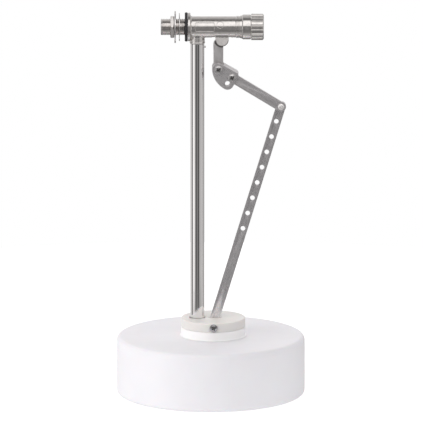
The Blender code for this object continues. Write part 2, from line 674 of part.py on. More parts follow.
def float_cap(mats, parts, cutters):
    """A shallow cup over the neck.  Two lugs under its top hold the screw that carries the level bar."""
    edge = 1.4 * MM
    low = NECK_TOP_Z + GAP
    ceiling = CAP_TOP_Z - CAP_ROOF
    inner_r = NECK_R - CAP_WALL
    profile = [(0.0, CAP_TOP_Z)] + arc((NECK_R - edge, CAP_TOP_Z - edge), edge, 90, 0, 3)
    profile += [(NECK_R, low), (inner_r, low), (inner_r, ceiling), (0.0, ceiling)]
    cap = turned("float_cap", profile, "Z", (NECK_X, 0.0, 0.0), MEDIUM, mats["ivory"], parts)
    lug_x = (BAR_PIN[0] - 6.5 * MM, BAR_PIN[0] + 9.5 * MM)
    slot_y = (BAR_Y[0] - 0.6 * MM, BAR_Y[1] + 0.6 * MM)
    lug = 5.0 * MM
    lugs = [box("cap_lug_form", (lug_x[0], slot_y[0] - lug, low + 0.4 * MM),
                (lug_x[1], slot_y[1] + lug, CAP_TOP_Z - MM), cutters)]
    entry_x = between(ARM_PIN, BAR_PIN, 0.983)[0]
    slot = box("bar_slot_cut", (entry_x - 8.2 * MM, slot_y[0], low - MM),
               (entry_x + 8.7 * MM, slot_y[1], CAP_TOP_Z + MM), cutters)
    tube_hole = rod("cap_tube_cut", SLEEVE_BORE_R, low, CAP_TOP_Z + MM, "Z", (TUBE_X, 0.0, 0.0), MEDIUM, None,
                    cutters)
    screw_hole = rod("cap_screw_cut", PIN_HOLE_R, -14.0 * MM, NECK_R + 5 * MM, "Y",
                     (BAR_PIN[0], 0.0, BAR_PIN[1]), TINY, None, cutters)
    combine(cap, "UNION", lugs)
    combine(cap, "DIFFERENCE", [slot, tube_hole, screw_hole])
    return smooth(cap)


def float_fasteners(mats, parts):
    head_r = 5.0 * MM
    face = NECK_R + GAP
    end = -9.6 * MM
    profile = [(0.0, face + 3.0 * MM), (head_r - 1.2 * MM, face + 3.0 * MM), (head_r, face + 1.6 * MM),
               (head_r, face), (PIN_R, face), (PIN_R, end), (0.0, end)]
    screw = turned("float_screw", profile, "Y", (BAR_PIN[0], 0.0, BAR_PIN[1]), SMALL, mats["steel"], parts)
    start = BAR_Y[1] + 5.9 * MM
    nut_r = 7.0 * MM / 2 / math.cos(math.pi / 6)
    corners = [(BAR_PIN[0] + nut_r * math.cos(i * math.pi / 3),
                BAR_PIN[1] + nut_r * math.sin(i * math.pi / 3))
               for i in range(6)]
    nut = plate("float_nut", [corners, circle(BAR_PIN, PIN_HOLE_R)], start, start + 3.0 * MM, "XZ",
                mats["steel"], parts)
    return [smooth(screw), smooth(nut)]


# ================================================================ assembly
def main():
    clear_scene()
    parts = new_collection("float_valve")
    cutters = new_collection("cutters")
    mats = {
        "nickel": material("nickel_plate", (0.66, 0.64, 0.61), 0.22, 1.0),
        "chrome": material("chrome_tube", (0.78, 0.77, 0.77), 0.07, 1.0),
        "steel": material("plated_steel", (0.47, 0.45, 0.45), 0.38, 1.0),
        "brass": material("brass", (0.72, 0.55, 0.26), 0.3, 1.0),
        "rubber": material("black_rubber", (0.03, 0.03, 0.03), 0.65, 0.0),
        "nylon": material("nylon", (0.85, 0.84, 0.8), 0.45, 0.0),
        "white": material("white_plastic", (0.86, 0.86, 0.88), 0.42, 0.0),
        "ivory": material("ivory_plastic", (0.74, 0.72, 0.68), 0.45, 0.0),
    }
    valve = Valve(parts, cutters, mats)
    for build in (valve.body, valve.seat, valve.collar, valve.end_cap, valve.cap_gasket, valve.tube,
                  valve.tube_set_screw, valve.tube_o_ring, valve.lever_pin):
        build()
    nut = lock_nut(mats, parts)
    nut_washer, thin_washer, _ = inlet_washers(mats, parts)
    carry("nut_travel", (NUT_X[0], 0.0, VALVE_Z), [nut, nut_washer], parts)
    carry("washer_travel", (THIN_WASHER_X[0], 0.0, VALVE_Z), [thin_washer], parts)

    carry("piston_travel", (PISTON_X[0], 0.0, VALVE_Z), [valve.piston(), valve.piston_seal(),
                                                          valve.piston_o_ring()], parts)

    crank = [lever(mats, parts, cutters), bracket(mats, parts, cutters), arm(mats, parts)]
    crank += bracket_fasteners(mats, parts) + arm_rivet(mats, parts)
    pivot = carry("lever_turn", (LEVER_PIVOT[0], 0.0, LEVER_PIVOT[1]), crank, parts)
    carry("bar_turn", (ARM_PIN[0], 0.0, ARM_PIN[1]), [level_bar(mats, parts)], parts, pivot)

    floating = [float_shell(mats, parts, cutters), float_base(mats, parts, cutters),
                float_sleeve(mats, parts), float_neck(mats, parts, cutters), float_cap(mats, parts, cutters)]
    floating += float_fasteners(mats, parts)
    carry("float_travel", (TUBE_X, 0.0, 0.0), floating, parts)


main()
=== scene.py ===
"""Looks of the vertical piston float valve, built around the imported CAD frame.

Metres.  +X runs along the valve towards its end cap, -Y faces the camera, +Z is up.  Sizes and places come
from the CAD nodes' boxes; the numbers here are details, and the few CAD sizes that no box gives.
"""

import math

import bmesh
import bpy
from mathutils import Matrix, Vector


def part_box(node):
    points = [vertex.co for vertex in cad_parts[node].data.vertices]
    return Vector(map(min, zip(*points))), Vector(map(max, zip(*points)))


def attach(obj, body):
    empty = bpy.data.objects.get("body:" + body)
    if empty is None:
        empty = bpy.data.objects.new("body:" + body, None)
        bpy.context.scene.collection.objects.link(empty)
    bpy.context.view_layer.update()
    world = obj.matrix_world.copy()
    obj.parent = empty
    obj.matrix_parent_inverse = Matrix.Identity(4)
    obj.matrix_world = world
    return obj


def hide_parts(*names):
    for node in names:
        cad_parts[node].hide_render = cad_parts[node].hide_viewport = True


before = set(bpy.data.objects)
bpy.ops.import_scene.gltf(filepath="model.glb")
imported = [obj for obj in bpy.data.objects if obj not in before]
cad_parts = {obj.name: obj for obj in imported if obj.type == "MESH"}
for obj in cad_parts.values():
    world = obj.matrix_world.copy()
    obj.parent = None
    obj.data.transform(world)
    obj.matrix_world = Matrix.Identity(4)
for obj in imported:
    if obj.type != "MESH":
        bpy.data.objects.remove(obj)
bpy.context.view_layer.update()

MM = 0.001
GAP = 0.3 * MM                      # free space between neighbouring CAD pieces
TURN = 2 * math.pi


# ================================================================ places read from the frame
def low(node, axis):
    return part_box(node)[0]["XYZ".index(axis)]


def high(node, axis):
    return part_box(node)[1]["XYZ".index(axis)]


def ends(node, axis):
    return low(node, axis), high(node, axis)


def centre(node):
    start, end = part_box(node)
    return (start + end) / 2


def half(node, axis):
    """Half a node's size along an axis: its radius, if it is a turned piece seen from its side."""
    return (high(node, axis) - low(node, axis)) / 2


def spot(node):
    """A node's middle as seen from the front, as (X, Z)."""
    middle = centre(node)
    return middle.x, middle.z


def on_plane(place):
    """The point at a place (X, Z) on the object's middle plane."""
    return Vector((place[0], 0.0, place[1]))


VALVE_Z = centre("end_cap").z
TUBE_X = centre("outlet_tube").x
VALVE_AXIS = Vector((0.0, 0.0, VALVE_Z))
TUBE_AXIS = Vector((TUBE_X, 0.0, 0.0))
LEVER_PIVOT = spot("lever_pin")
SCREW_UPPER = spot("upper_screw")
SCREW_LOWER = spot("lower_screw")
ARM_PIN = spot("arm_rivet")
BAR_PIN = spot("float_screw")
SPARE_HOLE = (SCREW_LOWER[0] - 5.6 * MM, SCREW_LOWER[1] - 7.5 * MM)
THREAD_R = 10.4775 * MM             # G 1/2 pipe thread, major radius
PIPE_PITCH = 1.814 * MM
M5_R = 2.5 * MM
M5_PITCH = 0.8 * MM
M4_R = 2.0 * MM
M4_PITCH = 0.7 * MM
SCREW_HOLE_R = 2.8 * MM
BAR_HOLE_R = 2.9 * MM


# ================================================================ mesh helpers
AXIS_TURN = {"X": Matrix.Rotation(math.pi / 2, 4, "Y"), "Y": Matrix.Rotation(math.pi / 2, 4, "X"),
             "Z": Matrix.Identity(4)}


def add_object(name, data, mat=None):
    obj = bpy.data.objects.new(name, data)
    if mat:
        data.materials.append(mat)
    bpy.context.scene.collection.objects.link(obj)
    return obj


def shade(obj, angle=30.0):
    """Smooth shading, with creases only where the surface really turns."""
    obj.data.shade_smooth()
    obj.data.set_sharp_from_angle(angle=math.radians(angle))
    return obj


def solid(name, shape, mat=None, stand=None):
    """An object from a bmesh, which is used up: its faces turned outwards, then stood in their place."""
    bmesh.ops.recalc_face_normals(shape, faces=shape.faces)
    if stand is not None:
        bmesh.ops.transform(shape, matrix=stand, verts=shape.verts)
    mesh = bpy.data.meshes.new(name)
    shape.to_mesh(mesh)
    shape.free()
    return add_object(name, mesh, mat)


def evaluated_mesh(obj):
    """What an object's modifiers or curve settings make of it."""
    bpy.context.view_layer.update()
    return bpy.data.meshes.new_from_object(obj.evaluated_get(bpy.context.evaluated_depsgraph_get()))


def curve_mesh(curve):
    """A curve turned into a mesh, the curve itself removed."""
    raw = add_object(curve.name, curve)
    mesh = evaluated_mesh(raw)
    bpy.data.objects.remove(raw)
    bpy.data.curves.remove(curve)
    mesh.materials.clear()
    return mesh


def add_spline(curve, points):
    """Add a closed outline to a curve."""
    spline = curve.splines.new("POLY")
    spline.points.add(len(points) - 1)
    for point, place in zip(spline.points, points):
        point.co = (*place, 1.0)
    spline.use_cyclic_u = True


def rounded(points, steps=4):
    """A closed outline with its corners rounded.  Each point is (u, v) or (u, v, corner radius)."""
    outline = []
    count = len(points)
    for i, point in enumerate(points):
        corner = Vector(point[:2])
        radius = point[2] if len(point) > 2 else 0.0
        before = Vector(points[i - 1][:2]) - corner
        after = Vector(points[(i + 1) % count][:2]) - corner
        if radius <= 0.0 or before.length == 0.0 or after.length == 0.0:
            outline.append(tuple(corner))
            continue
        before.normalize()
        after.normalize()
        half_angle = before.angle(after) / 2
        middle = corner + (before + after).normalized() * radius / math.sin(half_angle)
        reach = radius / math.tan(half_angle)
        start = corner + before * reach - middle
        end = corner + after * reach - middle
        swing = start.angle_signed(end)
        for step in range(steps + 1):
            outline.append(tuple(middle + Matrix.Rotation(-swing * step / steps, 2) @ start))
    return outline


def heights(start, end, step):
    """Evenly spaced heights from start to end, both included."""
    count = max(1, round(abs(end - start) / step))
    return [start + (end - start) * i / count for i in range(count + 1)]


def lathe(name, profile, axis="Z", at=(0.0, 0.0, 0.0), segments=64, mat=None, form=None, angle=30.0):
    """A closed profile of (radius, height) turned about an axis.

    form(angle, radius, height) may give each point another radius, for flutes, flats and threads.
    """
    shape = bmesh.new()
    rings = []
    for radius, height in profile:
        ring = []
        for i in range(segments):
            a = TURN * i / segments
            r = form(a, radius, height) if form and radius > 0.0 else radius
            ring.append(shape.verts.new((r * math.cos(a), r * math.sin(a), height)))
        rings.append(ring)
    for k, ring in enumerate(rings):
        after = rings[(k + 1) % len(rings)]
        for i in range(segments):
            j = (i + 1) % segments
            shape.faces.new((ring[i], ring[j], after[j], after[i]))
    bmesh.ops.remove_doubles(shape, verts=shape.verts, dist=1e-7)
    bmesh.ops.dissolve_degenerate(shape, edges=shape.edges, dist=1e-8)
    return shade(solid(name, shape, mat, Matrix.Translation(at) @ AXIS_TURN[axis]), angle)


def arc(middle, radius, start, end, steps=12):
    """Points on a circle from one angle to another, in degrees, both ends included."""
    angles = [math.radians(start + (end - start) * i / steps) for i in range(steps + 1)]
    return [(middle[0] + radius * math.cos(a), middle[1] + radius * math.sin(a)) for a in angles]


def circle(middle, radius, steps=40):
    return arc(middle, radius, 0, 360, steps)[:-1]


def direction(start, end):
    return math.degrees(math.atan2(end[1] - start[1], end[0] - start[0]))


def stadium(start, end, radius, steps=20):
    """A strip's outline: two half circles joined by straight sides."""
    along = direction(start, end)
    first = arc(start, radius, along + 90, along + 270, steps)
    return first + arc(end, radius, along - 90, along + 90, steps)


def between(start, end, share):
    return tuple(a + (b - a) * share for a, b in zip(start, end))


def tangent_normal(first, first_r, second, second_r):
    """Angle of the outward normal shared by two circles, on the right of the way from first to second."""
    lean = math.degrees(math.acos((first_r - second_r) / math.dist(first, second)))
    return direction(first, second) - lean


def plate(name, outlines, front, back, mat=None, edge=0.25 * MM, angle=30.0):
    """Flat outlines seen from the front, the first one outside and the others holes, with broken edges."""
    curve = bpy.data.curves.new(name, "CURVE")
    curve.dimensions = "2D"
    curve.fill_mode = "BOTH"
    curve.extrude = (back - front) / 2 - edge
    curve.bevel_depth = edge
    curve.bevel_resolution = 1
    curve.offset = -edge
    for points in outlines:
        add_spline(curve, [(u, v, 0.0) for u, v in points])
    mesh = curve_mesh(curve)
    shape = bmesh.new()
    shape.from_mesh(mesh)
    bpy.data.meshes.remove(mesh)
    bmesh.ops.remove_doubles(shape, verts=shape.verts, dist=1e-6)
    stand = Matrix.Translation((0.0, (front + back) / 2, 0.0)) @ AXIS_TURN["Y"]
    return shade(solid(name, shape, mat, stand), angle)


def block(name, start, end):
    """A box between two corners, used only as a cutter or to be joined to a piece."""
    shape = bmesh.new()
    bmesh.ops.create_cube(shape, size=1.0)
    size = Vector(end) - Vector(start)
    middle = (Vector(end) + Vector(start)) / 2
    return solid(name, shape, stand=Matrix.Translation(middle) @ Matrix.Diagonal((*size, 1.0)))


def combine(target, operation, tools, angle=30.0):
    """Join helper shapes to a piece or cut them out of it, and remove the helpers."""
    for tool in tools:
        modifier = target.modifiers.new("Join", "BOOLEAN")
        modifier.operation = operation
        modifier.solver = "EXACT"
        modifier.object = tool
    freeze(target)
    for tool in tools:
        data = tool.data
        bpy.data.objects.remove(tool)
        bpy.data.meshes.remove(data)
    return shade(target, angle)


def freeze(obj):
    """Keep what the modifiers make as the mesh itself."""
    mesh = evaluated_mesh(obj)
    old = obj.data
    obj.modifiers.clear()
    obj.data = mesh
    mesh.name = obj.name
    bpy.data.meshes.remove(old)
    return obj


def merge(target, others):
    """One mesh from several that overlap or touch."""
    shape = bmesh.new()
    for obj in [target, *others]:
        shape.from_mesh(obj.data)
    shape.to_mesh(target.data)
    shape.free()
    for obj in others:
        bpy.data.objects.remove(obj)
    return target


def sweep(name, stations, section):
    """A closed section of (across, out) carried past stations of (point, outward normal), both as (X, Z).

    Across runs along Y.
    """
    shape = bmesh.new()
    rows = [[shape.verts.new((x + nx * out, across, z + nz * out)) for across, out in section]
            for (x, z), (nx, nz) in stations]
    count = len(section)
    for row, after in zip(rows, rows[1:]):
        for i in range(count):
            j = (i + 1) % count
            shape.faces.new((row[i], row[j], after[j], after[i]))
    shape.faces.new(rows[0])
    shape.faces.new(rows[-1])
    return shade(solid(name, shape))


def rib(name, points, radius, mat):
    """A thin raised line, closed, along points in space."""
    curve = bpy.data.curves.new(name, "CURVE")
    curve.dimensions = "3D"
    curve.bevel_depth = radius
    curve.bevel_resolution = 2
    add_spline(curve, points)
    return shade(add_object(name, curve_mesh(curve), mat), 60.0)


def keep(obj, body, slot, *nodes):
    """Give a finished piece its body and hide the CAD nodes it stands for. The slot argument is not used."""
    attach(obj, body)
    if nodes:
        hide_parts(*nodes)
    return obj


# ================================================================ materials
class Paint:
    """A node material on a Principled shader, built up with a few kinds of procedural detail."""

    def __init__(self, name, colour, roughness, metallic=0.0, **fixed):
        self.mat = bpy.data.materials.new(name)
        self.mat.use_nodes = True
        self.nodes = self.mat.node_tree.nodes
        self.links = self.mat.node_tree.links
        self.shader = self.nodes["Principled BSDF"]
        self.shader.inputs["Base Color"].default_value = (*colour, 1.0)
        self.shader.inputs["Roughness"].default_value = roughness
        self.shader.inputs["Metallic"].default_value = metallic
        for socket, value in fixed.items():
            self.shader.inputs[socket.replace("_", " ")].default_value = value
        self.place = self.nodes.new("ShaderNodeTexCoord").outputs["Object"]
        self.normal = None

    def noise(self, scale, detail=3.0, longer=(1.0, 1.0, 1.0), turn=0.0, distortion=0.0):
        """Noise with scale features to the metre, some times longer along each axis, turned about Y."""
        mapping = self.nodes.new("ShaderNodeMapping")
        mapping.vector_type = "TEXTURE"
        mapping.inputs["Scale"].default_value = longer
        mapping.inputs["Rotation"].default_value = (0.0, turn, 0.0)
        texture = self.nodes.new("ShaderNodeTexNoise")
        texture.inputs["Scale"].default_value = scale
        texture.inputs["Detail"].default_value = detail
        texture.inputs["Distortion"].default_value = distortion
        self.links.new(self.place, mapping.inputs["Vector"])
        self.links.new(mapping.outputs["Vector"], texture.inputs["Vector"])
        return texture.outputs["Fac"]

    def span(self, value, start, end, to_low, to_high):
        """A value eased from one range to another."""
        node = self.nodes.new("ShaderNodeMapRange")
        node.interpolation_type = "SMOOTHSTEP"
        limits = {"From Min": start, "From Max": end, "To Min": to_low, "To Max": to_high}
        for socket, number in limits.items():
            node.inputs[socket].default_value = number
        self.links.new(value, node.inputs["Value"])
        return node.outputs["Result"]

    def axis(self, name):
        """Place along an axis, in metres."""
        node = self.nodes.new("ShaderNodeSeparateXYZ")
        self.links.new(self.place, node.inputs["Vector"])
        return node.outputs[name]

    def maths(self, operation, first, second):
        node = self.nodes.new("ShaderNodeMath")
        node.operation = operation
        self.links.new(first, node.inputs[0])
        self.links.new(second, node.inputs[1])
        return node.outputs["Value"]

    def distance(self, place):
        """Distance, seen from the front, from a place (X, Z)."""
        flat = self.nodes.new("ShaderNodeVectorMath")
        flat.operation = "MULTIPLY"
        flat.inputs[1].default_value = (1.0, 0.0, 1.0)
        self.links.new(self.place, flat.inputs[0])
        length = self.nodes.new("ShaderNodeVectorMath")
        length.operation = "DISTANCE"
        length.inputs[1].default_value = (place[0], 0.0, place[1])
        self.links.new(flat.outputs["Vector"], length.inputs[0])
        return length.outputs["Value"]

    def ring(self, place, starts, full, fades, gone):
        """One between two circles round a place (X, Z), eased to nothing inside and outside; four radii."""
        distance = self.distance(place)
        inner = self.span(distance, starts, full, 0.0, 1.0)
        return self.maths("MULTIPLY", inner, self.span(distance, fades, gone, 1.0, 0.0))

    def colours(self, value, stops):
        """Base colour by value; stops are (value, colour)."""
        ramp = self.nodes.new("ShaderNodeValToRGB")
        elements = ramp.color_ramp.elements
        while len(elements) < len(stops):
            elements.new(0.5)
        for element, (position, colour) in zip(elements, stops):
            element.position = position
            element.color = (*colour, 1.0)
        self.links.new(value, ramp.inputs["Fac"])
        self.links.new(ramp.outputs["Color"], self.shader.inputs["Base Color"])
        return self

    def rough(self, value):
        self.links.new(value, self.shader.inputs["Roughness"])
        return self

    def bump(self, value, depth, strength=1.0):
        """Relief of a real depth in metres, on top of any relief already there."""
        node = self.nodes.new("ShaderNodeBump")
        node.inputs["Strength"].default_value = strength
        node.inputs["Distance"].default_value = depth
        self.links.new(value, node.inputs["Height"])
        if self.normal:
            self.links.new(self.normal, node.inputs["Normal"])
        self.normal = node.outputs["Normal"]
        self.links.new(self.normal, self.shader.inputs["Normal"])
        return self


def shades(colour, darker, lighter):
    """Three ramp stops around a colour."""
    return [(0.32, tuple(c * darker for c in colour)), (0.5, colour),
            (0.68, tuple(min(1.0, c * lighter) for c in colour))]


NICKEL = (0.80, 0.775, 0.755)


def nickel_cast():
    """Nickel-plated casting: the barrel polished with a soft ripple, the boss and lug under it left satin.

    The lug's lower rim is darkened by painted shade, a dark band below the pivot.
    """
    paint = Paint("nickel_cast", NICKEL, 0.2, 1.0)
    height = paint.axis("Z")
    # painted shade: the colour is darkened in a band along the lug's lower rim, below the pivot
    painted_shade_rim = paint.ring(LEVER_PIVOT, LUG_R - 1.4 * MM, LUG_R - 0.7 * MM, LUG_R + 0.2 * MM, LUG_R + 0.6 * MM)
    lower = paint.span(height, LEVER_PIVOT[1] - 2 * MM, LEVER_PIVOT[1] + MM, 1.0, 0.0)
    clouds = paint.span(paint.noise(160, 4.0), 0.3, 0.7, 0.75, 1.0)
    tone = paint.maths("SUBTRACT", clouds, paint.maths("MULTIPLY", painted_shade_rim, lower))
    paint.colours(tone, [(0.0, (0.2, 0.19, 0.185)), (0.74, (0.73, 0.705, 0.685)), (1.0, (0.85, 0.82, 0.80))])
    under = paint.span(height, VALVE_Z - 13.0 * MM, VALVE_Z - 10.0 * MM, 1.0, 0.0)
    satin = paint.maths("MULTIPLY", under, paint.span(paint.axis("X"), -6.0 * MM, 0.0, 0.45, 1.0))
    paint.links.new(paint.span(satin, 0.0, 1.0, 1.0, 0.45), paint.shader.inputs["Metallic"])
    patches = paint.span(paint.noise(320, 5.0), 0.35, 0.7, 0.10, 0.24)
    paint.rough(paint.maths("ADD", patches, paint.span(satin, 0.0, 1.0, 0.0, 0.22)))
    paint.bump(paint.noise(260, 2.0), 0.06 * MM)
    return paint.bump(paint.noise(1500, 3.0), 0.008 * MM).mat


def nickel_turned():
    """Lathe-turned brass under bright nickel: rings round the valve's axis."""
    paint = Paint("nickel_turned", NICKEL, 0.2, 1.0)
    paint.colours(paint.noise(200, 4.0), shades(NICKEL, 0.9, 1.06))
    rings = paint.noise(5000, 2.0, (1.0, 100.0, 100.0))
    paint.rough(paint.span(rings, 0.3, 0.7, 0.09, 0.19))
    return paint.bump(rings, 0.002 * MM).bump(paint.noise(300, 2.0), 0.012 * MM).mat


def chrome():
    """Drawn tube, bright plated: almost a mirror, with faint marks along its length."""
    colour = (0.90, 0.885, 0.88)
    paint = Paint("chrome_tube", colour, 0.05, 1.0)
    drawn = paint.noise(1800, 3.0, (1.0, 1.0, 60.0))
    paint.colours(paint.noise(60, 4.0, (1.0, 1.0, 5.0)), shades(colour, 0.96, 1.03))
    paint.rough(paint.span(paint.noise(90, 5.0), 0.4, 0.75, 0.045, 0.12))
    return paint.bump(drawn, 0.002 * MM).mat


def pressed_steel(name, turn, colour=(0.88, 0.855, 0.865), metallic=0.86, rough_low=0.26,
                  rough_high=0.34):
    """Nickel-plated pressed strip: grain along it, faint clouding, and fine scratches at a slant."""
    paint = Paint(name, colour, 0.35, metallic)
    grain = paint.noise(2600, 3.0, (30.0, 1.0, 1.0), turn)
    scratches = paint.noise(1600, 2.0, (60.0, 1.0, 1.0), turn + 0.5)
    paint.colours(paint.noise(140, 5.0), shades(colour, 0.95, 1.04))
    paint.rough(paint.span(grain, 0.3, 0.7, rough_low, rough_high))
    paint.bump(grain, 0.0003 * MM)
    return paint.bump(paint.span(scratches, 0.66, 0.72, 1.0, 0.0), 0.0008 * MM).mat


def lever_steel():
    """The lever's steel, with a painted shadow: a dark ring round the pivot where the clevis ends."""
    paint = Paint("lever_steel", (0.70, 0.68, 0.675), 0.35, 0.7)
    # painted shadow: the colour is darkened in a ring just outside the clevis lug's edge
    ring = paint.ring(LEVER_PIVOT, LUG_R - 0.4 * MM, LUG_R + 0.1 * MM, LUG_R + 1.2 * MM, LUG_R + 2.8 * MM)
    clouds = paint.span(paint.noise(110, 5.0), 0.3, 0.7, 0.75, 1.0)
    paint.colours(paint.maths("SUBTRACT", clouds, ring), [
        (0.0, (0.12, 0.115, 0.11)), (0.7, (0.62, 0.60, 0.595)), (1.0, (0.76, 0.74, 0.735))])
    grain = paint.noise(2600, 3.0, (1.0, 1.0, 30.0))
    paint.rough(paint.span(grain, 0.3, 0.7, 0.32, 0.46))
    return paint.bump(grain, 0.002 * MM).mat


def screw_steel(name, colour):
    """Bright plated fastener, a little blotched."""
    paint = Paint(name, colour, 0.2, 0.9)
    paint.colours(paint.noise(500, 4.0), shades(colour, 0.86, 1.08))
    paint.rough(paint.span(paint.noise(900, 4.0), 0.35, 0.7, 0.10, 0.26))
    return paint.bump(paint.noise(2500, 2.0), 0.004 * MM).mat


def brass():
    colour = (0.72, 0.52, 0.24)
    paint = Paint("turned_brass", colour, 0.28, 1.0)
    paint.colours(paint.noise(240, 4.0), shades(colour, 0.8, 1.1))
    rings = paint.noise(4200, 2.0, (1.0, 100.0, 100.0))
    return paint.rough(paint.span(rings, 0.3, 0.7, 0.2, 0.36)).bump(rings, 0.012 * MM).mat


def rubber():
    """Moulded black rubber with a little bloom and a fine grain."""
    colour = (0.028, 0.027, 0.028)
    paint = Paint("black_rubber", colour, 0.6, 0.0, Specular_IOR_Level=0.35)
    paint.colours(paint.noise(260, 5.0), shades(colour, 0.7, 1.9))
    paint.rough(paint.span(paint.noise(500, 4.0), 0.3, 0.7, 0.5, 0.72))
    return paint.bump(paint.noise(3500, 3.0), 0.03 * MM).mat


def plastic(name, colour, rough_low, rough_high, ripple, grain, subsurface=0.0):
    """Moulded plastic: faint clouding, slow ripple from the mould and a fine eggshell grain."""
    paint = Paint(name, colour, 0.4, 0.0, IOR=1.5, Subsurface_Weight=subsurface, Subsurface_Scale=4.0 * MM)
    paint.colours(paint.noise(18, 4.0), shades(colour, 0.985, 1.012))
    paint.rough(paint.span(paint.noise(40, 4.0), 0.35, 0.7, rough_low, rough_high))
    paint.bump(paint.noise(28, 2.0), ripple)
    return paint.bump(paint.noise(2200, 2.0), grain).mat


# ================================================================ valve body, along X
BARREL_END = low("cylinder_collar", "X") - GAP
FLANGE_START = high("rubber_gasket", "X") + GAP
FLANGE_END = FLANGE_START + 3.1 * MM
BARREL_R = 13.25 * MM
CHAMBER_R = 8.6 * MM
SPIGOT_HOLE_R = 11.2 * MM           # hole of the collar and the end cap, round the spigot
BOSS_R = 9.3 * MM
BOSS_BORE_R = 5.0 * MM
BOSS_END = high("outlet_tube", "Z") + GAP
LUG_R = 8.3 * MM
LUG_HALF_DEPTH = 10.0 * MM
SLOT_HALF_DEPTH = 5.4 * MM


def bore_cutter(name, radius, start, end, axis, at, segments):
    """A plain cylinder, used only to cut a round hole."""
    return lathe(name, [(0.0, start), (radius, start), (radius, end), (0.0, end)], axis, at, segments)


def casting(mat):
    """Barrel, outlet boss and clevis lug as one casting, its inner corners softened like a mould's fillets."""
    profile = rounded([(CHAMBER_R, FLANGE_END), (BARREL_R, FLANGE_END), (BARREL_R, BARREL_END, 0.4 * MM),
                       (CHAMBER_R, BARREL_END)])
    barrel = lathe("valve_casting", profile, "X", VALVE_AXIS, 128)
    step = 0.4 * MM
    rim = 1.6 * MM
    boss = lathe("boss", [
        (0.0, VALVE_Z), (BOSS_R, VALVE_Z), (BOSS_R, BOSS_END + rim + step), (BOSS_R + step, BOSS_END + rim),
        (BOSS_R + step, BOSS_END), (0.0, BOSS_END)], "Z", TUBE_AXIS, 96)
    root = VALVE_Z - 5.0 * MM
    outline = arc(LEVER_PIVOT, LUG_R, 180, 360, 32)
    outline += [(LEVER_PIVOT[0] + LUG_R, root), (LEVER_PIVOT[0] - LUG_R, root)]
    lug = plate("lug", [outline], -LUG_HALF_DEPTH, LUG_HALF_DEPTH, edge=0.7 * MM)
    combine(barrel, "UNION", [boss, lug])
    chamber = bore_cutter("chamber", CHAMBER_R, FLANGE_END - MM, BARREL_END + MM, "X", VALVE_AXIS, 96)
    slot = block("slot", (LEVER_PIVOT[0] - 12.4 * MM, -SLOT_HALF_DEPTH, LEVER_PIVOT[1] - 12 * MM),
                 (LEVER_PIVOT[0] + 11.0 * MM, SLOT_HALF_DEPTH, root))
    way_down = bore_cutter("way_down", BOSS_BORE_R, VALVE_Z, BOSS_END - MM, "Z", TUBE_AXIS, 48)
    combine(barrel, "DIFFERENCE", [chamber, slot, way_down])
    remesh = barrel.modifiers.new("Cast", "REMESH")
    remesh.mode = "VOXEL"
    remesh.voxel_size = 0.42 * MM
    relax = barrel.modifiers.new("Relax", "SMOOTH")
    relax.factor = 0.5
    relax.iterations = 5
    freeze(barrel)
    barrel.data.materials.clear()
    barrel.data.materials.append(mat)
    barrel.data.shade_smooth()
    return keep(barrel, "valve", "nickel", "valve_body")


def thread_form(major, depth, pitch, start, end):
    """Radius of a V thread that runs out over one turn at each end."""
    def radius_at(angle, radius, height):
        if radius < major - depth or radius > major:
            return radius
        phase = (height / pitch - angle / TURN) % 1.0
        cut = min(1.0, 1.35 * (1.0 - abs(2.0 * phase - 1.0)))
        fade = max(0.0, min(1.0, (height - start) / pitch, (end - height) / pitch))
        return min(radius, major - depth * cut * fade)
    return radius_at


def inlet(mat):
    """Threaded inlet with the flange that clamps on the tank wall."""
    start = low("valve_body", "X")
    depth = 0.95 * MM
    run_out = FLANGE_START - 1.2 * MM
    bore = 7.0 * MM
    profile = [(bore, start + 0.8 * MM), (bore + 0.8 * MM, start), (THREAD_R - 1.1 * MM, start)]
    profile += [(THREAD_R - max(0.0, 1.0 * MM - (h - start)), h)
                for h in heights(start + 0.1 * MM, FLANGE_START, PIPE_PITCH / 9)]
    flange_r = 17.8 * MM
    root = 2.6 * MM
    rim = rounded([
        (THREAD_R, FLANGE_START), (flange_r, FLANGE_START, 0.6 * MM), (flange_r, FLANGE_END, 0.9 * MM),
        (BARREL_R, FLANGE_END, root), (BARREL_R, FLANGE_END + 1.4 * root)], 8)
    profile += rim[1:] + [(BARREL_R - 2.0 * MM, FLANGE_END + 1.5 * root), (bore, FLANGE_END + 0.4 * MM)]
    form = thread_form(THREAD_R, depth, PIPE_PITCH, start, run_out)
    piece = lathe("inlet_thread", profile, "X", VALVE_AXIS, 120, mat, form, 40.0)
    return keep(piece, "valve", "nickel")


def wrapped(x, lift):
    """A point on the barrel's surface: x along it, lift degrees above its front."""
    a = math.radians(lift)
    return x, -BARREL_R * math.cos(a), VALVE_Z + BARREL_R * math.sin(a)


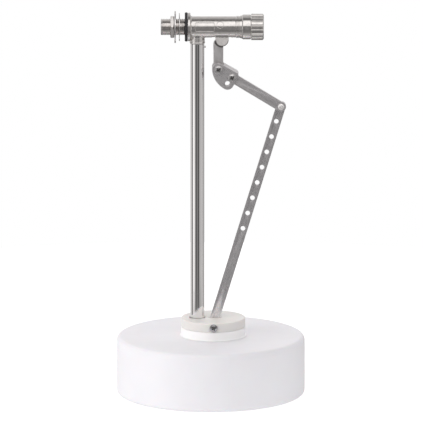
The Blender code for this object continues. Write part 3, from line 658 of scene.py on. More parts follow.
def blank_marks(mat):
    """A raised empty frame and a raised plain ring, where the real casting carries its markings."""
    left, right = -19.5 * MM, 4.6 * MM
    top, bottom = 34.0, -14.0
    corner, lean = 1.6 * MM, 7.0
    corners = [(right - corner, top - lean, 0), (left + corner, top - lean, 90),
               (left + corner, bottom + lean, 180), (right - corner, bottom + lean, 270)]
    path = []
    for x, lift, start in corners:
        for step in range(7):
            a = math.radians(start + 90 * step / 6)
            path.append(wrapped(x + corner * math.cos(a), lift + lean * math.sin(a)))
    dense = []
    for here, there in zip(path, path[1:] + path[:1]):
        parts = max(1, round(math.dist(here, there) / (1.0 * MM)))
        for i in range(parts):
            x, y, z = between(here, there, i / parts)
            lift = math.degrees(math.atan2(z - VALVE_Z, -y))
            dense.append(wrapped(x, lift))
    frame_rib = rib("blank_label_frame", dense, 0.52 * MM, mat)
    ring_r = 4.3 * MM
    ring_x, ring_lift = 11.6 * MM, 22.0
    ring_rise = math.degrees(ring_r / BARREL_R)
    ring = [wrapped(ring_x + ring_r * math.cos(TURN * i / 40), ring_lift + ring_rise * math.sin(TURN * i / 40))
            for i in range(40)]
    mark = rib("blank_mark_ring", ring, 0.42 * MM, mat)
    merge(frame_rib, [mark])
    return keep(frame_rib, "valve", "nickel")


def spigot(mat):
    """Threaded end of the body, seen only in the gap between collar and end cap."""
    start, end = BARREL_END - 0.2 * MM, low("cap_gasket", "X") - GAP
    outer, inner = 10.7 * MM, CHAMBER_R
    profile = rounded([(inner, start), (outer, start), (outer, end, 0.6 * MM), (inner, end, 0.4 * MM)])
    return keep(lathe("spigot", profile, "X", VALVE_AXIS, 64, mat), "valve", "nickel")


def collar(mat):
    """Collar with two turned grooves, then a cone up to its full size."""
    start, end = ends("cylinder_collar", "X")
    outer = half("cylinder_collar", "Z")
    groove, lip = 13.3 * MM, 13.8 * MM
    profile = rounded([
        (SPIGOT_HOLE_R, start), (lip, start, 0.25 * MM), (lip, start + 1.4 * MM, 0.25 * MM),
        (groove, start + 1.8 * MM, 0.15 * MM), (groove, start + 2.4 * MM, 0.15 * MM),
        (lip, start + 2.7 * MM, 0.2 * MM), (lip, start + 3.3 * MM, 0.2 * MM),
        (groove, start + 3.6 * MM, 0.15 * MM), (groove, start + 4.2 * MM, 0.15 * MM),
        (lip, start + 4.5 * MM, 0.3 * MM), (outer - 1.0 * MM, start + 7.3 * MM, 1.2 * MM),
        (outer, start + 8.3 * MM, 0.8 * MM), (outer, end, 0.6 * MM), (SPIGOT_HOLE_R, end)])
    return keep(lathe("collar", profile, "X", VALVE_AXIS, 128, mat), "valve", "nickel", "cylinder_collar")


def end_cap(mat):
    """Knob with round-bottomed flutes that run out at a chamfer, and a dished end face."""
    start, end = ends("end_cap", "X")
    outer = half("end_cap", "Z")
    floor = 60.0 * MM
    flutes, depth = 20, 0.95 * MM
    profile = [(SPIGOT_HOLE_R, start), (outer - 0.8 * MM, start)]
    profile += [(outer - 0.5 * MM, start + 0.15 * MM), (outer, start + 0.6 * MM)]
    profile += [(outer, h) for h in heights(start + 1.6 * MM, end - 2.4 * MM, 1.6 * MM)]
    profile += rounded([
        (outer, end - 2.2 * MM), (outer, end - 1.3 * MM, 0.5 * MM), (outer - 1.6 * MM, end, 0.5 * MM),
        (outer - 3.2 * MM, end, 0.3 * MM), (outer - 3.8 * MM, end - 0.5 * MM, 0.3 * MM),
        (4.0 * MM, end - 0.6 * MM)])[:-1]
    profile += [(0.0, end - 0.6 * MM), (0.0, floor), (SPIGOT_HOLE_R, floor)]

    def fluted(angle, radius, height):
        if radius < outer - 1.5 * MM:
            return radius
        dip = max(0.0, math.cos(flutes * angle)) ** 0.8 * depth
        return min(radius, outer - dip)
    piece = lathe("end_cap_knob", profile, "X", VALVE_AXIS, flutes * 16, mat, fluted, 35.0)
    return keep(piece, "valve", "nickel", "end_cap")


def tube(mat):
    """Bright drawn tube with broken edges."""
    outer = half("outlet_tube", "Y")
    bottom, top = ends("outlet_tube", "Z")
    bore = 7.6 * MM
    profile = rounded([(bore, bottom, 0.2 * MM), (outer, bottom, 0.3 * MM), (outer, top, 0.3 * MM),
                       (bore, top, 0.2 * MM)])
    piece = lathe("chrome_outlet_tube", profile, "Z", TUBE_AXIS, 160, mat)
    return keep(piece, "valve", "chrome", "outlet_tube")


def grub_screw(mat):
    start, end = ends("tube_set_screw", "X")
    radius = half("tube_set_screw", "Z")
    at = Vector((0.0, 0.0, centre("tube_set_screw").z))
    profile = rounded([(0.0, start), (radius, start), (radius, end, 0.3 * MM), (0.0, end)])
    screw = lathe("grub_screw", profile, "X", at, 40, mat)
    slot = 0.28 * MM
    cut = block("cut", (end - 0.7 * MM, -2 * MM, at.z - slot), (end + MM, 2 * MM, at.z + slot))
    combine(screw, "DIFFERENCE", [cut])
    return keep(screw, "valve", "steel", "tube_set_screw")


def lever_pin(mat):
    """Headed pin pushed in from behind, its head slightly domed."""
    back, front = high("lever_pin", "Y"), low("lever_pin", "Y")
    head = half("lever_pin", "Z")
    pin_r = 2.0 * MM
    under = back - 1.4 * MM
    profile = rounded([(0.0, -front), (pin_r, -front, 0.3 * MM), (pin_r, -under), (head, -under, 0.25 * MM),
                       (head, -under - 0.9 * MM, 0.6 * MM), (0.0, -back)])
    pin = lathe("hinge_pin", profile, "Y", on_plane(LEVER_PIVOT), 48, mat)
    return keep(pin, "valve", "steel", "lever_pin")


# ================================================================ fittings on the inlet thread
def hexagon(across, turn=0.0):
    """Radius of a hexagon at an angle."""
    def radius_at(angle):
        off = (angle - turn) % (math.pi / 3) - math.pi / 6
        return across / 2 / math.cos(off)
    return radius_at


def hex_nut(name, across, bore, start, end, axis, at, mat, turn=0.0):
    """Nut with turned chamfers on both faces and round its bore."""
    corner = across / 2 / math.cos(math.pi / 6)
    face = across / 2 * 0.95
    fall = (corner - face) * 0.58
    thick = end - start
    lead = min(0.5 * MM, thick / 6)
    cone = [(face + (corner - face) * i / 6, start + fall * i / 6) for i in range(7)]
    profile = [(bore, start + lead), (bore + lead, start)] + cone
    profile += [(corner, h) for h in heights(start + fall, end - fall, thick / 3)[1:-1]]
    profile += [(r, start + end - h) for r, h in reversed(cone)] + [(bore + lead, end), (bore, end - lead)]
    flat = hexagon(across, turn)

    def six_sided(angle, radius, height):
        return radius if radius < bore + 2 * lead else min(radius, flat(angle))
    return lathe(name, profile, axis, at, 144, mat, six_sided, 25.0)


def washer(name, node, bore, edge, mat, axis="X", at=VALVE_AXIS):
    """A plain ring that fills its node's box, with rounded edges."""
    outer = half(node, "Z")
    start, end = low(node, axis), high(node, axis)
    if axis == "Y":
        start, end = -end, -start
    profile = rounded([(bore, start, edge), (outer, start, edge), (outer, end, edge), (bore, end, edge)], 3)
    return lathe(name, profile, axis, at, 120, mat)


def inlet_fittings(mats):
    bore = THREAD_R + 0.25 * MM
    start, end = ends("lock_nut", "X")
    across_flats = 27.0 * MM
    nut = hex_nut("backnut", across_flats, bore, start, end, "X", VALVE_AXIS, mats["turned"], math.radians(20))
    keep(nut, "nut", "nickel", "lock_nut")
    wide = washer("wide_washer", "nut_washer", bore, 0.3 * MM, mats["pressed_washer"])
    keep(wide, "nut", "nickel", "nut_washer")
    loose = washer("loose_washer", "thin_washer", bore, 0.25 * MM, mats["pressed_washer"])
    keep(loose, "washer", "nickel", "thin_washer")
    gasket_r = half("rubber_gasket", "Z")
    start, end = ends("rubber_gasket", "X")
    profile = rounded([
        (bore, start), (gasket_r - 0.5 * MM, start, 0.5 * MM), (gasket_r, start + 1.0 * MM, 0.8 * MM),
        (gasket_r, end - 1.0 * MM, 0.8 * MM), (gasket_r - 0.5 * MM, end, 0.5 * MM), (bore, end)])
    gasket = lathe("flange_gasket", profile, "X", VALVE_AXIS, 120, mats["rubber"])
    keep(gasket, "valve", "rubber", "rubber_gasket")


# ================================================================ linkage
def cross_recess(screw, place, front, head_r, mat, recess_shade_mat):
    """Cut a tapered cross into a screw head that faces the camera, its inside given painted shade."""
    wide, narrow, thick = head_r * 0.66, head_r * 0.24, head_r * 0.15
    depth, above = 1.7 * MM, 0.6 * MM
    for turn in (math.radians(28), math.radians(118)):
        shape = bmesh.new()
        tip, mouth = [[shape.verts.new((sx * reach, sy * thick, level))
                       for sx, sy in ((-1, -1), (1, -1), (1, 1), (-1, 1))]
                      for reach, level in ((narrow, -depth), (wide, above))]
        for i in range(4):
            j = (i + 1) % 4
            shape.faces.new((tip[i], tip[j], mouth[j], mouth[i]))
        shape.faces.new(tip)
        shape.faces.new(mouth)
        facing = AXIS_TURN["Y"] @ Matrix.Rotation(turn, 4, "Z")
        stand = Matrix.Translation((place[0], front, place[1])) @ facing
        combine(screw, "DIFFERENCE", [solid("blade", shape, stand=stand)])
    # painted shade: the faces inside the cross recess get the dark recess material
    screw.data.materials.clear()
    screw.data.materials.append(mat)
    screw.data.materials.append(recess_shade_mat)
    for face in screw.data.polygons:
        out = math.hypot(face.center.x - place[0], face.center.z - place[1])
        steep = abs(face.normal.y) < 0.75
        sunk = face.center.y - front
        inside = out < head_r * 0.72 and sunk < 1.9 * MM and (steep or sunk > 1.0 * MM)
        face.material_index = int(inside)


def pan_screw(name, node, shank_r, pitch, mats, body, thread_from):
    """Pan-head screw with a cross recess, threaded from thread_from back to its tip.

    mats are the screw's own material and the dark one that paints shade inside its recess.
    """
    place = spot(node)
    front, back = ends(node, "Y")
    head_r = half(node, "Z")
    head = 3.0 * MM
    top, tip = -front, -back            # along the turned piece's own axis, which points to the camera
    under = top - head
    profile = [(0.0, tip), (shank_r - 0.6 * MM, tip)]
    profile += [(shank_r - max(0.0, 0.5 * MM - (h - tip)), h) for h in heights(tip, -thread_from, pitch / 8)]
    profile += [(shank_r, under)]
    dome = 1.1 * MM
    profile += rounded([(shank_r, under), (head_r, under, 0.2 * MM), (head_r, top - dome, 0.4 * MM)], 4)[1:]
    crown = (head_r ** 2 + dome ** 2) / (2 * dome)
    rise = math.degrees(math.asin(head_r / crown))
    profile += arc((0.0, top - crown), crown, 90 - rise, 90, 10)[1:]
    form = thread_form(shank_r, 0.32 * pitch + 0.12 * MM, pitch, tip - pitch, -thread_from)
    screw = lathe(name, profile, "Y", on_plane(place), 64, None, form, 40.0)
    cross_recess(screw, place, front, head_r, *mats)
    return keep(screw, body, "steel", node)


def rear_nut(name, node, across, bore, mat, body):
    start, end = -high(node, "Y"), -low(node, "Y")
    nut = hex_nut(name, across, bore, start, end, "Y", on_plane(spot(node)), mat, math.pi / 6)
    return keep(nut, body, "steel", node)


def spacer(name, node, bore, mat):
    piece = washer(name, node, bore, 0.25 * MM, mat, "Y", on_plane(spot(node)))
    return keep(piece, "crank", "steel", node)


LEVER_R = 6.1 * MM
LEVER_HALF_DEPTH = 5.0 * MM


def lever(mat):
    """Cast crank with well rounded edges, and the finger that moves the piston."""
    hub_r = 5.6 * MM
    shoulder = (LEVER_PIVOT[0] - 4.8 * MM, LEVER_PIVOT[1] - 7.4 * MM)
    hub_left = tangent_normal(LEVER_PIVOT, hub_r, shoulder, LEVER_R) % 360
    right = SCREW_UPPER[0] + LEVER_R
    hub_start = math.degrees(math.acos((right - LEVER_PIVOT[0]) / hub_r))
    outline = arc(LEVER_PIVOT, hub_r, -hub_start, hub_left, 30)
    outline += arc(shoulder, LEVER_R, hub_left, 180, 8)
    outline += arc(SCREW_UPPER, LEVER_R, 180, 360, 28)
    crank = plate("crank_lever", [outline, circle(SCREW_UPPER, SCREW_HOLE_R)], -LEVER_HALF_DEPTH,
                  LEVER_HALF_DEPTH, mat, 0.9 * MM)
    tip = (LEVER_PIVOT[0], VALVE_Z)
    tip_r, neck, finger_depth = 3.2 * MM, 2.2 * MM, 2.4 * MM
    root = LEVER_PIVOT[1] + 4.0 * MM
    finger_outline = arc(tip, tip_r, -43, 223, 24) + [(tip[0] - neck, root), (tip[0] + neck, root)]
    finger = plate("finger", [finger_outline], -finger_depth, finger_depth, mat, 0.4 * MM)
    merge(crank, [finger])
    return keep(crank, "crank", "steel", "lever")


def bracket(mat):
    """Channel folded from one sheet: two cheeks, and a web with real bend radii along the top edge."""
    sheet = 1.5 * MM
    bend = 2.0 * MM
    depth = half("bracket", "Y")
    upper_r = LEVER_R + sheet + 0.3 * MM
    heel = (SCREW_UPPER[0] + 22.5 * MM, SCREW_UPPER[1] + 1.9 * MM)
    heel_r = math.dist(heel, SCREW_UPPER) + upper_r
    spare_r = heel_r - math.dist(heel, SPARE_HOLE)
    corner = (SCREW_LOWER[0] + 3.4 * MM, SCREW_LOWER[1] + 2.2 * MM)
    corner_r = 4.8 * MM
    top = tangent_normal(corner, corner_r, SCREW_UPPER, upper_r)
    side = tangent_normal(SPARE_HOLE, spare_r, corner, corner_r)
    upper_turn = direction(heel, SCREW_UPPER) % 360
    spare_turn = direction(heel, SPARE_HOLE) % 360
    outline = arc(SCREW_UPPER, upper_r, top, upper_turn, 30)
    outline += arc(heel, heel_r, upper_turn, spare_turn, 28)[1:]
    outline += arc(SPARE_HOLE, spare_r, spare_turn, side + 360, 16)[1:]
    outline += arc(corner, corner_r, side, top, 16)
    spare_hole = 3.2 * MM
    holes = [circle(place, SCREW_HOLE_R) for place in (SCREW_UPPER, SCREW_LOWER)]
    holes.append(circle(SPARE_HOLE, spare_hole))
    channel = plate("channel_bracket", [outline] + holes, -depth, depth, mat, 0.2 * MM)

    normal = (math.cos(math.radians(top)), math.sin(math.radians(top)))
    along = (-normal[1], normal[0])
    web = 17.8 * MM
    under_web = arc(corner, corner_r - sheet, 32, top)
    fold = under_web[-1]
    web_end = (fold[0] + along[0] * web, fold[1] + along[1] * web)
    past = 30.0 * MM
    left, right = SCREW_UPPER[0] - past, corner[0] + past
    bottom, above = SPARE_HOLE[1] - past, SCREW_UPPER[1] + past
    inside = under_web + [web_end, (web_end[0], above), (left, above), (left, bottom), (right, bottom),
                          (right, under_web[0][1])]
    inner = depth - sheet
    cut = plate("inside", [inside], -inner, inner, edge=0.3 * MM)
    slot_end = (SPARE_HOLE[0] - 0.6 * MM, SPARE_HOLE[1] - 2.4 * MM)
    rear_slot = plate("rear_slot", [stadium(SPARE_HOLE, slot_end, spare_hole)], inner - MM, depth + MM)
    combine(channel, "DIFFERENCE", [cut, rear_slot])

    reach = web + 1.0 * MM
    stations = []
    start_turn = 28.0
    for step in range(-2, 17):
        a = math.radians(start_turn + (top - start_turn) * max(step, 0) / 16)
        out = (math.cos(a), math.sin(a))
        point = (corner[0] + corner_r * out[0], corner[1] + corner_r * out[1])
        back = min(step, 0) * 2.0 * MM
        stations.append(((point[0] - back * -out[1], point[1] - back * out[0]), out))
    for step in range(1, 9):
        share = reach * step / 8
        point = (corner[0] + corner_r * normal[0] + along[0] * share,
                 corner[1] + corner_r * normal[1] + along[1] * share)
        stations.append((point, normal))
    for mirror in (-1, 1):
        spare = 1.0 * MM
        section = [(mirror * (depth + spare), spare), (mirror * (depth - bend), spare)]
        for step in range(9):
            a = math.pi / 2 * step / 8
            section.append((mirror * (depth - bend + bend * math.sin(a)), -bend + bend * math.cos(a)))
        section.append((mirror * (depth + spare), -bend))
        combine(channel, "DIFFERENCE", [sweep("round", stations, section)])
    return keep(channel, "crank", "steel", "bracket")


def arm(mat):
    front, back = ends("arm", "Y")
    holes = [circle(place, SCREW_HOLE_R) for place in (SCREW_UPPER, SCREW_LOWER)]
    holes.append(circle(ARM_PIN, BAR_HOLE_R))
    piece = plate("flat_arm", [stadium(SCREW_UPPER, ARM_PIN, LEVER_R)] + holes, front, back, mat, 0.35 * MM)
    return keep(piece, "crank", "steel", "arm")


def rivet(mat):
    """Pan head in front with the small dimple of the set, and peened over behind."""
    front, back = ends("arm_rivet", "Y")
    head_r = half("arm_rivet", "Z")
    shank = 2.6 * MM
    face = -low("arm", "Y") + GAP
    behind = -high("level_bar", "Y") - GAP
    profile = rounded([
        (0.0, -front - 0.5 * MM), (0.7 * MM, -front - 0.1 * MM, 0.3 * MM), (1.1 * MM, -front, 0.2 * MM),
        (2.4 * MM, -front - 0.35 * MM, 1.0 * MM), (3.4 * MM, -front - 0.9 * MM, 0.6 * MM),
        (head_r, face + 0.5 * MM, 0.3 * MM), (head_r, face, 0.1 * MM), (shank, face), (shank, behind),
        (head_r - 0.3 * MM, behind, 0.3 * MM), (head_r - 0.9 * MM, behind - 1.0 * MM, 0.4 * MM),
        (0.0, -back)], 6)
    piece = lathe("pivot_rivet", profile, "Y", on_plane(ARM_PIN), 64, mat)
    return keep(piece, "crank", "steel", "arm_rivet")


def level_bar(mat):
    """Strip with its row of level-setting holes, and a loose eye at the float."""
    front, back = ends("level_bar", "Y")
    half_width = 6.0 * MM
    pitch = 20.4 * MM
    open_holes = 8
    length = math.dist(ARM_PIN, BAR_PIN)
    holes = [circle(between(ARM_PIN, BAR_PIN, i * pitch / length), BAR_HOLE_R) for i in range(open_holes + 1)]
    slack = 0.8 * MM / length
    eye_r = 3.3 * MM
    eye = stadium(between(ARM_PIN, BAR_PIN, 1 - slack), between(ARM_PIN, BAR_PIN, 1 + slack), eye_r)
    strip = stadium(ARM_PIN, BAR_PIN, half_width)
    piece = plate("holed_level_bar", [strip, eye] + holes, front, back, mat, 0.3 * MM)
    return keep(piece, "bar", "steel", "level_bar")


# ================================================================ float
FLOAT_R = half("float_shell", "X")
FLOAT_TOP = high("float_shell", "Z")
NECK_X = centre("float_neck").x
NECK_R = half("float_cap", "X")
SLEEVE_R = 11.5 * MM
SLEEVE_BORE_R = 10.0 * MM
SLEEVE_HOLE_R = SLEEVE_R + GAP      # hole round the sleeve in the shell and the base plate
ROOF_R = SLEEVE_R + 9.0 * MM        # where the shell's turned top meets the disc with the sleeve's hole
WALL = 2.6 * MM


def float_shell(mat):
    """Blow-moulded puck: a rounded top edge with a faint step under it, and a parting line down two sides."""
    top_r, foot_r = 5.4 * MM, 6.2 * MM
    mouth = 107.9 * MM
    step = 0.25 * MM
    side = FLOAT_R - step
    rim = FLOAT_TOP - top_r
    inner = side - top_r
    profile = [(ROOF_R, FLOAT_TOP), (inner - 3.0 * MM, FLOAT_TOP), (inner - 0.6 * MM, FLOAT_TOP - 0.02 * MM)]
    profile += arc((inner, rim), top_r, 86, 4, 16)
    profile += [(side, rim), (side + 0.1 * MM, rim - 0.3 * MM), (FLOAT_R, rim - 0.7 * MM)]
    profile += [(FLOAT_R, h) for h in heights(rim - 4.0 * MM, foot_r + 2 * MM, 10 * MM)]
    profile += arc((FLOAT_R - foot_r, foot_r), foot_r, 0, -90, 14)
    profile += [(mouth, 0.0), (mouth, 3.2 * MM), (FLOAT_R - WALL, foot_r)]
    profile += arc((inner, rim), top_r - WALL, 0, 90, 8) + [(ROOF_R, FLOAT_TOP - WALL)]
    line = math.radians(-78.5)
    width = math.radians(0.16)

    def seamed(angle, radius, height):
        if radius < FLOAT_R - 14 * MM:
            return radius
        off = min(abs((angle - line - side_turn + math.pi) % TURN - math.pi) for side_turn in (0.0, math.pi))
        return radius - 0.32 * MM * max(0.0, 1.0 - off / (5 * width))
    shell = lathe("float_shell_moulded", profile, "Z", (0.0, 0.0, 0.0), 720, mat, seamed, 40.0)
    roof = holed_disc("float_roof", FLOAT_TOP, WALL, ROOF_R, mat)
    merge(shell, [roof])
    return keep(shell, "float", "white", "float_shell")


def holed_disc(name, top, thick, outer, mat):
    """A flat disc about the float's axis, with the sleeve's hole off its centre."""
    shape = bmesh.new()
    segments = 144

    def ring(x, radius, level):
        return [shape.verts.new((x + px, py, level)) for px, py in circle((0.0, 0.0), radius, segments)]
    rows = [(ring(TUBE_X, SLEEVE_HOLE_R, level), ring(0.0, outer, level)) for level in (top, top - thick)]
    for i in range(segments):
        j = (i + 1) % segments
        for inner, edge in rows:
            shape.faces.new((inner[i], inner[j], edge[j], edge[i]))
        shape.faces.new((rows[0][0][i], rows[0][0][j], rows[1][0][j], rows[1][0][i]))
    return shade(solid(name, shape, mat))


def float_base(mat):
    """Welded-in base plate with a stiffening bead and a raised weld ring."""
    outer = half("float_base", "X")
    thick = high("float_base", "Z")
    bead = 1.0 * MM
    hub = 30.0 * MM
    profile = rounded([
        (hub, 0.0), (70 * MM, 0.0, 1 * MM), (71.5 * MM, bead, 1 * MM), (84 * MM, bead, 1 * MM),
        (85.5 * MM, 0.0, 1 * MM), (outer - 4.0 * MM, 0.0, 0.6 * MM), (outer - 3.2 * MM, 0.8 * MM, 0.4 * MM),
        (outer - 1.0 * MM, 0.8 * MM, 0.3 * MM), (outer, 0.2 * MM), (outer, thick), (hub, thick)])
    base = lathe("float_base_moulded", profile, "Z", (0.0, 0.0, 0.0), 240, mat)
    disc = holed_disc("base_disc", thick, thick, hub, mat)
    merge(base, [disc])
    return keep(base, "float", "white", "float_base")


def float_sleeve(mat):
    bottom, top = ends("float_sleeve", "Z")
    profile = rounded([(SLEEVE_BORE_R, bottom, 0.8 * MM), (SLEEVE_R, bottom, 0.3 * MM),
                       (SLEEVE_R, top, 0.3 * MM), (SLEEVE_BORE_R, top, 0.8 * MM)])
    sleeve = lathe("guide_sleeve", profile, "Z", TUBE_AXIS, 96, mat)
    return keep(sleeve, "float", "white", "float_sleeve")


def float_neck(mat):
    bottom, top = ends("float_neck", "Z")
    flare = 1.6 * MM
    profile = [(NECK_R - 3 * MM, bottom), (NECK_R - 3 * MM, top)]
    profile += arc((NECK_R - 0.5 * MM, top - 0.5 * MM), 0.5 * MM, 90, 0, 4)
    profile += arc((NECK_R + flare, bottom + flare), flare, 180, 264, 12)
    profile += [(NECK_R + flare * 0.92, bottom)]
    neck = lathe("white_neck", profile, "Z", (NECK_X, 0.0, 0.0), 200, mat)
    return keep(neck, "float", "white", "float_neck")


def float_cap(mat):
    """Shallow ivory cap with a hole for the tube, a slot for the bar and lugs inside that hold the screw."""
    bottom, top = ends("float_cap", "Z")
    roof, wall, edge = 2.0 * MM, 3.0 * MM, 1.4 * MM
    inner = NECK_R - wall
    profile = [(0.0, top), (NECK_R - edge - 2 * MM, top)] + arc((NECK_R - edge, top - edge), edge, 90, 0, 8)
    profile += [(NECK_R, bottom + 0.3 * MM), (NECK_R - 0.3 * MM, bottom), (inner, bottom)]
    profile += [(inner, top - roof), (0.0, top - roof)]
    cap = lathe("ivory_cap", profile, "Z", (NECK_X, 0.0, 0.0), 200)
    side_play = 0.6 * MM
    slot_front, slot_back = low("level_bar", "Y") - side_play, high("level_bar", "Y") + side_play
    entry = between(ARM_PIN, BAR_PIN, 0.983)[0]
    lugs = block("lugs", (BAR_PIN[0] - 6.5 * MM, slot_front - 5 * MM, bottom + 0.4 * MM),
                 (BAR_PIN[0] + 9.5 * MM, slot_back + 5 * MM, top - MM))
    combine(cap, "UNION", [lugs])
    slot = block("slot", (entry - 8.2 * MM, slot_front, bottom - MM), (entry + 8.7 * MM, slot_back, top + MM))
    lead_in = SLEEVE_BORE_R + 0.6 * MM
    hole = lathe("hole", [
        (0.0, bottom - MM), (SLEEVE_BORE_R, bottom - MM), (SLEEVE_BORE_R, top - 0.5 * MM),
        (lead_in, top + 0.01 * MM), (lead_in, top + MM), (0.0, top + MM)], "Z", TUBE_AXIS, 96)
    screw_hole = bore_cutter("screw_hole", 2.3 * MM, -14 * MM, NECK_R + 5 * MM, "Y", on_plane(BAR_PIN), 32)
    combine(cap, "DIFFERENCE", [slot, hole, screw_hole])
    cap.data.materials.clear()
    cap.data.materials.append(mat)
    return keep(cap, "float", "ivory", "float_cap")


# ================================================================ stage, light and camera
def stage():
    """Pale floor that fades into the white background, and five soft lights that no reflection shows."""
    floor_paint = Paint("floor", (0.3, 0.3, 0.3), 0.9, 0.0, Specular_IOR_Level=0.0)
    floor_paint.shader.inputs["Emission Color"].default_value = (1.0, 1.0, 1.0, 1.0)
    floor_paint.shader.inputs["Emission Strength"].default_value = 0.85
    radius, top, bottom = 0.9, -0.2 * MM, -4.0 * MM
    profile = [(0.0, top), (radius, top), (radius, bottom), (0.0, bottom)]
    floor = lathe("floor", profile, segments=96, mat=floor_paint.mat)
    floor.visible_glossy = False
    lights = (("key", (-2.5, -0.5, 0.9), 1.4, 22.0, (1.0, 0.99, 0.985)),
              ("front", (-1.3, -2.2, 0.8), 1.8, 6.0, (0.985, 0.98, 1.0)),
              ("right", (2.6, 0.4, 0.8), 1.8, 5.0, (0.98, 0.97, 1.0)),
              ("top", (0.0, 0.3, 2.2), 1.6, 13.0, (1.0, 0.99, 1.0)),
              ("back", (0.4, 2.2, 1.0), 1.8, 16.0, (1.0, 1.0, 1.0)))
    for name, place, size, power, colour in lights:
        data = bpy.data.lights.new(name, "AREA")
        data.shape = "SQUARE"
        data.size = size
        data.energy = power
        data.color = colour
        lamp = add_object(name, data)
        lamp.location = place
        lamp.rotation_euler = (Vector((0.0, 0.0, 0.2)) - lamp.location).to_track_quat("-Z", "Y").to_euler()
        lamp.visible_glossy = False


def grey(value):
    return value, value * 0.985, value * 0.98


def studio():
    """White to the camera; to everything else, a studio of soft boxes and dark gaps round the object."""
    world = bpy.data.worlds.new("studio")
    bpy.context.scene.world = world
    world.use_nodes = True
    nodes, links = world.node_tree.nodes, world.node_tree.links
    nodes.clear()

    def maths(operation, first, second=None, third=None):
        node = nodes.new("ShaderNodeMath")
        node.operation = operation
        for socket, value in zip(node.inputs, (first, second, third)):
            if isinstance(value, (int, float)):
                socket.default_value = value
            elif value is not None:
                links.new(value, socket)
        return node.outputs["Value"]

    def ramp(value, stops):
        """Brightness by angle; stops are (degrees, brightness) from -180 to 180."""
        node = nodes.new("ShaderNodeValToRGB")
        elements = node.color_ramp.elements
        while len(elements) < len(stops):
            elements.new(0.5)
        for element, (angle, light) in zip(elements, stops):
            element.position = (angle + 180) / 360
            element.color = (*grey(light), 1.0)
        links.new(value, node.inputs["Fac"])
        return node.outputs["Color"]

    axes = nodes.new("ShaderNodeSeparateXYZ")
    links.new(nodes.new("ShaderNodeTexCoord").outputs["Generated"], axes.inputs["Vector"])
    x, y, z = axes.outputs
    front = maths("MULTIPLY", y, -1.0)
    round_angle = maths("MULTIPLY_ADD", maths("ARCTAN2", x, front), 1 / TURN, 0.5)
    over_angle = maths("MULTIPLY_ADD", maths("ARCTAN2", z, front), 1 / TURN, 0.5)
    # Both angles are 0 straight in front: the walls' go round to the right, the dome's up and over.
    walls = ramp(round_angle, [
        (-180, 0.8), (-116, 0.62), (-99, 0.5), (-93, 0.06), (-82, 0.06), (-77, 1.0), (-50, 1.0),
        (-42, 0.7), (-33, 0.22), (-22, 0.2), (-15, 0.08), (-7, 0.12), (2, 0.28), (10, 0.2), (15, 0.04),
        (24, 0.05), (32, 0.38), (50, 0.5), (72, 0.56), (94, 0.5), (115, 0.45), (140, 0.3), (180, 0.7)])
    dome = ramp(over_angle, [
        (-180, 0.16), (-140, 0.2), (-110, 0.32), (-75, 0.44), (-60, 0.42), (-40, 0.2), (-12, 0.2),
        (2, 0.26), (13, 0.45), (23, 1.05), (45, 1.2), (68, 1.15), (75, 0.3), (84, 0.16), (100, 0.2),
        (108, 0.42), (125, 0.5), (150, 0.7), (180, 0.5)])
    climb = nodes.new("ShaderNodeMapRange")
    climb.interpolation_type = "SMOOTHSTEP"
    climb.inputs["From Min"].default_value = 0.26
    climb.inputs["From Max"].default_value = 0.36
    links.new(maths("ABSOLUTE", z), climb.inputs["Value"])
    blend = nodes.new("ShaderNodeMix")
    blend.data_type = "RGBA"
    links.new(climb.outputs["Result"], blend.inputs["Factor"])
    colour_a, colour_b, colour_out = 6, 7, 2    # places, because this node's sockets share their names
    links.new(walls, blend.inputs[colour_a])
    links.new(dome, blend.inputs[colour_b])
    reflected = nodes.new("ShaderNodeBackground")
    links.new(blend.outputs[colour_out], reflected.inputs["Color"])
    plain = nodes.new("ShaderNodeBackground")
    plain.inputs["Color"].default_value = (1.0, 1.0, 1.0, 1.0)
    plain.inputs["Strength"].default_value = 1.0
    rays = nodes.new("ShaderNodeLightPath")
    mixed = nodes.new("ShaderNodeMixShader")
    links.new(rays.outputs["Is Camera Ray"], mixed.inputs["Fac"])
    links.new(reflected.outputs["Background"], mixed.inputs[1])
    links.new(plain.outputs["Background"], mixed.inputs[2])
    output = nodes.new("ShaderNodeOutputWorld")
    links.new(mixed.outputs["Shader"], output.inputs["Surface"])


def camera():
    """Long lens, twelve degrees above the object, as in the photograph."""
    view_width, distance = 0.52875, 20.0
    tilt = math.radians(12.0)
    aim = Vector((0.9 * MM, 0.0, 231.9 * MM))
    data = bpy.data.cameras.new("camera")
    data.sensor_width = 36.0
    data.lens = data.sensor_width * distance / view_width
    cam = add_object("camera", data)
    cam.location = aim + distance * Vector((0.0, -math.cos(tilt), math.sin(tilt)))
    cam.rotation_euler = (math.pi / 2 - tilt, 0.0, 0.0)
    bpy.context.scene.camera = cam
    bpy.context.scene.view_settings.view_transform = "Standard"


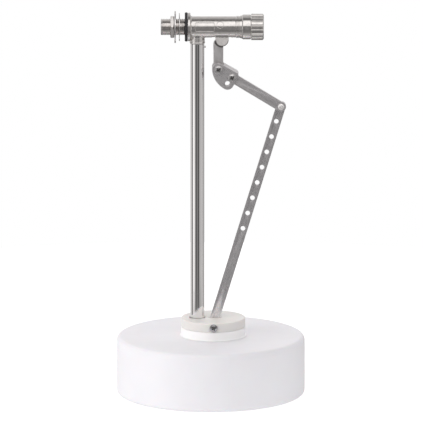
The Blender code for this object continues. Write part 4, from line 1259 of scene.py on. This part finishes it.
# ================================================================ all of it
def main():
    camera()
    studio()
    stage()
    bar_turn = -math.radians(direction(ARM_PIN, BAR_PIN))
    arm_turn = -math.radians(direction(SCREW_UPPER, ARM_PIN))
    mats = {
        "cast": nickel_cast(),
        "turned": nickel_turned(),
        "chrome": chrome(),
        "lever": lever_steel(),
        "bracket": pressed_steel("bracket_steel", arm_turn),
        "arm": pressed_steel("arm_steel", arm_turn),
        "bar": pressed_steel("bar_steel", bar_turn, (0.82, 0.80, 0.81), 0.88),
        "pressed_washer": pressed_steel("washer_steel", 0.0, (0.80, 0.78, 0.77), 0.95, 0.18, 0.32),
        "rivet": pressed_steel("rivet_steel", 0.0, (0.86, 0.84, 0.83), 0.6, 0.2, 0.34),
        "screw": screw_steel("screw_steel", (0.76, 0.745, 0.74)),
        "dark_screw": screw_steel("dark_screw_steel", (0.46, 0.45, 0.46)),
        # painted shade for the inside of the screws' cross recesses
        "recess": screw_steel("recess_painted_shade", (0.27, 0.26, 0.26)),
        "brass": brass(),
        "rubber": rubber(),
        "nylon": plastic("nylon", (0.8, 0.79, 0.74), 0.4, 0.5, 0.02 * MM, 0.02 * MM),
        "white": plastic("white_plastic", (0.795, 0.785, 0.815), 0.38, 0.5, 0.25 * MM, 0.02 * MM, 0.1),
        # painted light: the neck is the float's white plastic, made lighter to stand in for light it does not
        # get
        "neck": plastic("neck_plastic_painted_light", (0.98, 0.965, 0.96), 0.38, 0.5, 0.1 * MM, 0.02 * MM, 0.1),
        "ivory": plastic("ivory_plastic", (0.775, 0.755, 0.73), 0.36, 0.46, 0.08 * MM, 0.02 * MM, 0.1),
    }
    casting(mats["cast"])
    inlet(mats["turned"])
    blank_marks(mats["cast"])
    spigot(mats["turned"])
    collar(mats["turned"])
    end_cap(mats["turned"])
    tube(mats["chrome"])
    grub_screw(mats["screw"])
    lever_pin(mats["screw"])
    inlet_fittings(mats)
    lever(mats["lever"])
    bracket(mats["bracket"])
    arm(mats["arm"])
    play = 0.05 * MM
    thread_from = high("upper_nut", "Y") - 2 * MM
    for side in ("upper", "lower"):
        pan_screw(side + "_pan_screw", side + "_screw", M5_R, M5_PITCH, (mats["screw"], mats["recess"]),
                  "crank", thread_from)
    for side in ("upper", "lower"):
        rear_nut(side + "_hex_nut", side + "_nut", 8 * MM, M5_R + play, mats["screw"], "crank")
    for side in ("upper", "lower"):
        spacer(side + "_spacer_tube", side + "_spacer", SCREW_HOLE_R, mats["screw"])
    rivet(mats["rivet"])
    spacer("rivet_spacer", "rivet_washer", BAR_HOLE_R, mats["screw"])
    level_bar(mats["bar"])
    float_shell(mats["white"])
    float_base(mats["white"])
    float_sleeve(mats["white"])
    float_neck(mats["neck"])
    float_cap(mats["ivory"])
    pan_screw("cap_pan_screw", "float_screw", M4_R, M4_PITCH, (mats["dark_screw"], mats["recess"]), "float",
              high("float_nut", "Y") - MM)
    rear_nut("cap_hex_nut", "float_nut", 7 * MM, M4_R + play, mats["screw"], "float")
    kept = {"inlet_seat": "nylon", "cap_gasket": "rubber", "tube_o_ring": "rubber", "piston": "brass",
            "piston_seal": "rubber", "piston_o_ring": "rubber"}
    for node, name in kept.items():
        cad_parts[node].material_slots[0].material = mats[name]


main()
